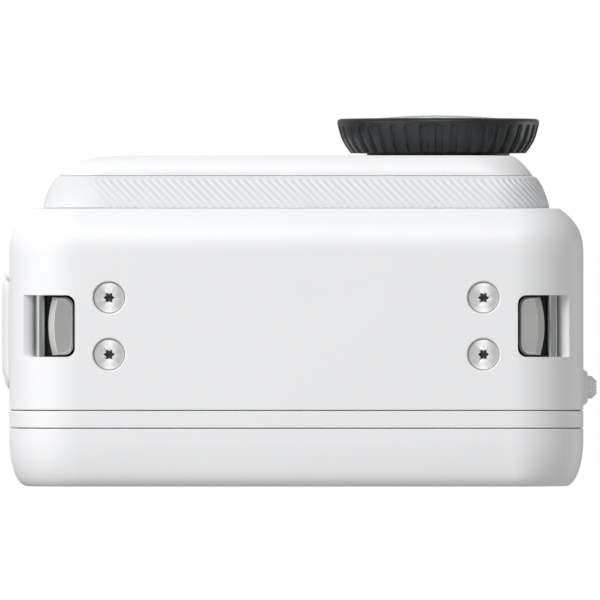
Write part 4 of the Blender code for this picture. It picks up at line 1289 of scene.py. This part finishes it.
soften(button_cap, 0.02, 1, 35)
place(button_cap, "power", "white_shell", "power_button")

# %% Shutter button
bezel = lathe("shutter_ring", [(5.6, 48.6), (6.2, 48.6), (6.2, 50.8), (6.1, 50.97), (5.95, 51.0), (5.75, 50.95),
                               (5.6, 50.8)], SHUTTER, PALE_ALUMINIUM, "up", 96)
soften(bezel, 0)
place(bezel, "camera_body", "aluminium", "shutter_bezel")
shutter = lathe("dished_shutter_button", [(0, 47.6), (1.5, 47.6), (1.5, 48.9), (5.1, 48.9), (5.3, 49.1), (5.3, 51.5),
                                          (5.22, 51.75), (5.0, 51.88), (4.7, 51.9), (3.6, 51.74), (2.0, 51.62),
                                          (0, 51.6)], SHUTTER, RUBBER, "up", 96)
soften(shutter, 0)
place(shutter, "shutter", "dark_rubber", "shutter_button")

# %% [markdown]
# ## Small openings in the fascia
# The wind mesh is a thin dished disc with rows of round holes. Geometry Nodes lays the rows out from a grid
# of points, moves every other row along by half a step, keeps the points within the rim, and sets a small
# cutter on each. One Boolean then cuts all the holes. The status light is a domed, frosted rod.

# %% Wind mesh and status light
mesh_inputs = {"Rows each side": 4, "Spacing": 0.38 * MM, "Hole": 0.12 * MM, "Depth": 1.0 * MM, "X": mesh_middle.x,
               "Y": mesh_low.y, "Z": mesh_middle.z, "Rim": 1.55 * MM, "Material": RUBBER}
hole_group, tree, value = geometry_tree("rows_of_holes", mesh_inputs)
count = value["Rows each side"] * 2 + 1
side_length = value["Spacing"] * (count - 1)
grid = tree.add("GeometryNodeMeshGrid", None, {"Size X": side_length, "Size Y": side_length, "Vertices X": count,
                                                "Vertices Y": count})
x, y, _ = tree.xyz(tree.add("GeometryNodeInputPosition"))
odd = (y / value["Spacing"] / 2 + 0.25).fraction().step(0.49, 0.51)
shifted_x = x + odd * value["Spacing"] / 2
radius = (shifted_x * shifted_x + y * y) ** 0.5
laid = tree.add("GeometryNodeSetPosition", None, {
    "Geometry": grid, "Position": tree.join(value["X"] + shifted_x, value["Y"], value["Z"] + y)})
too_far = tree.add("FunctionNodeCompare", {"data_type": "FLOAT", "operation": "GREATER_THAN"},
                   {0: tree.add("ShaderNodeVectorMath", {"operation": "DISTANCE"}, {
                       0: tree.add("GeometryNodeInputPosition"),
                       1: tree.join(value["X"], value["Y"], value["Z"])}, output=1), 1: value["Rim"] - value["Hole"]})
kept = tree.add("GeometryNodeDeleteGeometry", {"domain": "POINT"}, {"Geometry": laid, "Selection": too_far})
cutter = tree.add("GeometryNodeMeshCylinder", {"fill_type": "TRIANGLE_FAN"},
                  {"Vertices": 12, "Radius": value["Hole"], "Depth": value["Depth"]})
turned_cutter = tree.add("GeometryNodeTransform", None, {"Geometry": cutter, "Rotation": (math.pi / 2, 0, 0)})
holes = tree.add("GeometryNodeInstanceOnPoints", None, {"Points": kept, "Instance": turned_cutter})
end_tree(tree, holes, value["Material"])
hole_cutters = grow("hole_cutters", hole_group, mesh_inputs)
print("wind mesh holes:", len(hole_cutters.data.vertices) // 26)
half = (mesh_high.y - mesh_low.y) / 2 / MM
grille = lathe("wind_grille", [(0, half - 0.06), (1.3, half - 0.02), (1.66, half), (1.8, half - 0.12), (1.8, -half),
                               (0, -half)], mesh_middle, RUBBER, "front", 48)
boolean(grille, [hole_cutters])
soften(grille, 0)
place(grille, "camera_body", "dark_rubber", "wind_mesh")
light_guide = lathe("status_light_guide", [(0, 0.88), (0.35, 0.86), (0.6, 0.78), (0.7, 0.62), (0.7, -0.85),
                                           (0, -0.9)], light_middle, None, "front", 40)
soften(light_guide, 0)

# %% [markdown]
# ## Finishes for the inner pieces
# What lies behind the screen, the door and the window keeps its solid from the frame, and takes a finish of
# its own: solder mask with fine copper tracks, stamped steel, printed film, and the wrap of a battery cell.

# %% Circuit board, film, cell and light guide
def solder_mask(name):
    """Green lacquer over tracks: a brick pattern of fine lines, broken up by noise, raised a few microns."""
    material, tree, shader = new_finish(name, IOR=1.52, Coat_Weight=0.4, Coat_Roughness=0.2)
    place_at = tree.add("ShaderNodeTexCoord").out("Object")
    x, y, z = tree.xyz(place_at)
    along = (x + y * 0.7) / (0.55 * MM) + noise(tree, 0.12, 1.0).step(0.45, 0.55) * 2.5
    across = (z + y * 0.6) / (0.55 * MM)
    track = (along.fraction() - 0.5).absolute().step(0.18, 0.24)
    pads = tree.add("ShaderNodeTexVoronoi", None, {"Vector": place_at, "Scale": 0.35 / MM}).step(0.30, 0.26)
    crossing = (across.fraction() - 0.5).absolute().step(0.2, 0.26) * 0.3
    lines = track * noise(tree, 0.2, 1.0).step(0.48, 0.52) + crossing
    green = tree.mix_colour(lines, (0.012, 0.075, 0.035, 1), (0.028, 0.150, 0.070, 1))
    wire(tree, shader,
         Base_Color=tree.mix_colour(pads, green, (0.55, 0.42, 0.18, 1)),
         Metallic=pads * 0.9,
         Roughness=0.38 - pads * 0.1 + noise(tree, 3.0) * 0.08,
         Normal=bump(tree, lines + pads, 0.02))
    return material


def printed_film(name):
    """Amber film with straight copper lines under it."""
    material, tree, shader = new_finish(name, IOR=1.6, Coat_Weight=0.5, Coat_Roughness=0.12)
    x, _, _ = tree.xyz(tree.add("ShaderNodeTexCoord").out("Object"))
    line = ((x / (0.5 * MM)).fraction() - 0.5).absolute().step(0.2, 0.28)
    wire(tree, shader,
         Base_Color=tree.mix_colour(line, (0.34, 0.13, 0.02, 1), (0.62, 0.30, 0.07, 1)),
         Roughness=0.3 + noise(tree, 2.0) * 0.12,
         Normal=bump(tree, line, 0.015))
    return material


def milky_guide(name):
    """A frosted light guide, painted a little brighter in the middle, where the lamp sits behind it: a painted glow
    that fades darker towards the rim.
    """
    material, tree, shader = new_finish(name, IOR=1.49, Subsurface_Weight=0.35)
    x, _, z = tree.xyz(tree.add("ShaderNodeTexCoord").out("Object"))
    off_x = x - light_middle.x
    off_z = z - light_middle.z
    # Painted glow: the base colour is paler in the middle and darker towards the rim.
    rim = (off_x * off_x + off_z * off_z).step(0.0, (0.7 * MM) ** 2)
    wire(tree, shader,
         Base_Color=tree.mix_colour(rim, (0.86, 0.88, 0.90, 1), (0.62, 0.66, 0.70, 1)),
         Roughness=0.32 + noise(tree, 6.0) * 0.1,
         Normal=bump(tree, noise(tree, 10.0), 0.004))
    return material


BOARD = solder_mask("green_solder_mask")
FILM = printed_film("amber_printed_film")
GUIDE = milky_guide("milky_light_guide")
CELL_WRAP = moulded_plastic("grey_cell_wrap", (0.085, 0.088, 0.095), (0.11, 0.112, 0.12), 0.5, 2.5, 0.012)
SENSOR_DARK = moulded_plastic("dark_sensor_face", (0.008, 0.009, 0.016), (0.012, 0.016, 0.028), 0.16, 5.0, 0.001)
SPREADER = brushed("brushed_spreader", (0.70, 0.71, 0.72), 0.32, "X")
light_guide.data.materials.append(GUIDE)
place(light_guide, "camera_body", "status_white", "status_light")

# %% Dress the inner pieces
INNER_FINISHES = {
    BOARD: ("main_board", "sensor_board", "screen_board"),
    FILM: ("screen_flex",),
    CELL_WRAP: ("battery",),
    SENSOR_DARK: ("image_sensor", "front_display", "screen_panel"),
    SPREADER: ("heat_spreader",),
    INNER_STEEL: ("processor_can", "card_slot", "usb_socket", "base_bracket", "microphone"),
    NICKEL: ("base_magnet_left", "base_magnet_right"),
    POCKET_BLACK: ("battery_tray", "memory_card", "speaker", "shutter_switch", "power_switch"),
    RUBBER: ("housing_seal",),
}
dressed = 0
for finish, names in INNER_FINISHES.items():
    for name in names:
        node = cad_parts[name]
        node.data.materials.clear()
        node.data.materials.append(finish)
        dressed += 1
print(dressed, "inner pieces dressed")

# %% [markdown]
# ## Studio
# The floor is a large pale plane a hair below the base, and it is seen from above only, so that the camera
# under the base looks through it. Close to the object it carries a painted contact shadow, darker there,
# where white plastic would otherwise glow in its own bounce light. Far away a painted glow makes it paler.
# The object's real shadow falls on it, but it casts none itself and shows in no reflection.

# %% Floor
FLOOR_DROP = 0.25 * MM
FLOOR_SIZE = 6.0
BASE_HALF_WIDTH = 29 * MM
BASE_HALF_DEPTH = 12 * MM
BASE_MIDDLE_Y = 1 * MM
PAINTED_SHADOW_REACH = 30 * MM
PAINTED_GLOW_FROM = 60 * MM
PAINTED_GLOW_TO = 900 * MM
floor_shape = bmesh.new()
bmesh.ops.create_grid(floor_shape, x_segments=1, y_segments=1, size=FLOOR_SIZE)
bmesh.ops.translate(floor_shape, vec=(0, 0, -FLOOR_DROP), verts=floor_shape.verts)
floor_mesh = bpy.data.meshes.new("studio_floor")
floor_shape.to_mesh(floor_mesh)
floor_shape.free()
floor = bpy.data.objects.new("studio_floor", floor_mesh)
bpy.context.scene.collection.objects.link(floor)
material, tree, shader = new_finish("pale_floor", Roughness=0.7, Emission_Strength=1.0)
x, y, _ = tree.xyz(tree.add("ShaderNodeTexCoord").out("Object"))
beyond_x = (x.absolute() - BASE_HALF_WIDTH).at_least(0.0)
beyond_y = ((y - BASE_MIDDLE_Y).absolute() - BASE_HALF_DEPTH).at_least(0.0)
away = (beyond_x * beyond_x + beyond_y * beyond_y) ** 0.5
# Painted contact shadow: the base colour darkens near the object. Painted glow: emission lifts the far floor.
wire(tree, shader,
     Base_Color=tree.mix_colour(away.step(0.0, PAINTED_SHADOW_REACH), (0.42, 0.42, 0.42, 1), (0.80, 0.80, 0.80, 1)),
     Emission_Color=tree.mix_colour(away.step(PAINTED_GLOW_FROM, PAINTED_GLOW_TO), (0, 0, 0, 1), (0.36, 0.36, 0.36, 1)))
underside = tree.add("ShaderNodeNewGeometry").out("Backfacing")
see_through = tree.add("ShaderNodeBsdfTransparent")
one_sided = tree.add("ShaderNodeMixShader", None, {0: underside, 1: Value(tree, shader.outputs[0]), 2: see_through})
tree.tree.links.new(one_sided.socket, material.node_tree.nodes["Material Output"].inputs["Surface"])
floor_mesh.materials.append(material)
floor.visible_shadow = False
floor.visible_diffuse = False
floor.visible_glossy = False
floor.visible_transmission = False

# %% [markdown]
# The room gives an even fill, and looks pure white to the camera alone. Round lamps do the rest. White
# plastic needs broad fills that don't mirror in glass, and steel needs sheens that show in its reflections
# but leave the plastic alone. Each lamp belongs to one of those two groups, apart from a rim light that does
# both.

# %% Room and lamps
world = bpy.data.worlds.new("studio")
bpy.context.scene.world = world
world.use_nodes = True
studio = Tree(world.node_tree)
to_camera = studio.add("ShaderNodeLightPath").out("Is Camera Ray")
FILL = 0.40
background = world.node_tree.nodes["Background"]
background.inputs["Color"].default_value = (1, 1, 1, 1)
world.node_tree.links.new((FILL + to_camera * (1 - FILL)).socket, background.inputs["Strength"])


def soft_light(name, direction, distance, size, power):
    data = bpy.data.lights.new(name, "AREA")
    data.shape = "DISK"
    data.size = size
    data.energy = power
    lamp = bpy.data.objects.new(name, data)
    bpy.context.scene.collection.objects.link(lamp)
    towards = Vector(direction).normalized()
    lamp.location = Vector((0, 0, MIDDLE)) + towards * distance
    lamp.rotation_euler = (-towards).to_track_quat("-Z", "Y").to_euler()
    return lamp


# Fills light the surfaces and are left out of reflections. Sheens do the opposite.
FILLS = (("key_below_left", (-0.36, -0.35, -0.41), 0.9, 0.6, 6.6), ("fill_below", (0.12, 0.0, -1.0), 1.1, 0.9, 1.2),
         ("overhead", (-0.25, -0.35, 1.0), 1.0, 0.9, 8.0), ("front_left", (-0.7, -1.0, 0.35), 1.1, 0.6, 1.5))
SHEENS = (("front_sheen", (0.0, -1.0, -1.2), 0.9, 0.6, 2.3), ("rear_sheen", (0.0, 1.0, -1.2), 0.9, 0.6, 2.3),
          ("left_sheen", (-0.87, 0.0, -0.5), 0.9, 0.9, 2.0))
for placing in FILLS:
    soft_light(*placing).visible_glossy = False
soft_light("right_rim", (1.0, 0.1, 0.6), 0.9, 0.5, 0.7)
for placing in SHEENS:
    soft_light(*placing).visible_diffuse = False
bpy.context.scene.view_settings.view_transform = "Standard"
print(len(FILLS), "fills,", len(SHEENS), "sheens and a rim light")
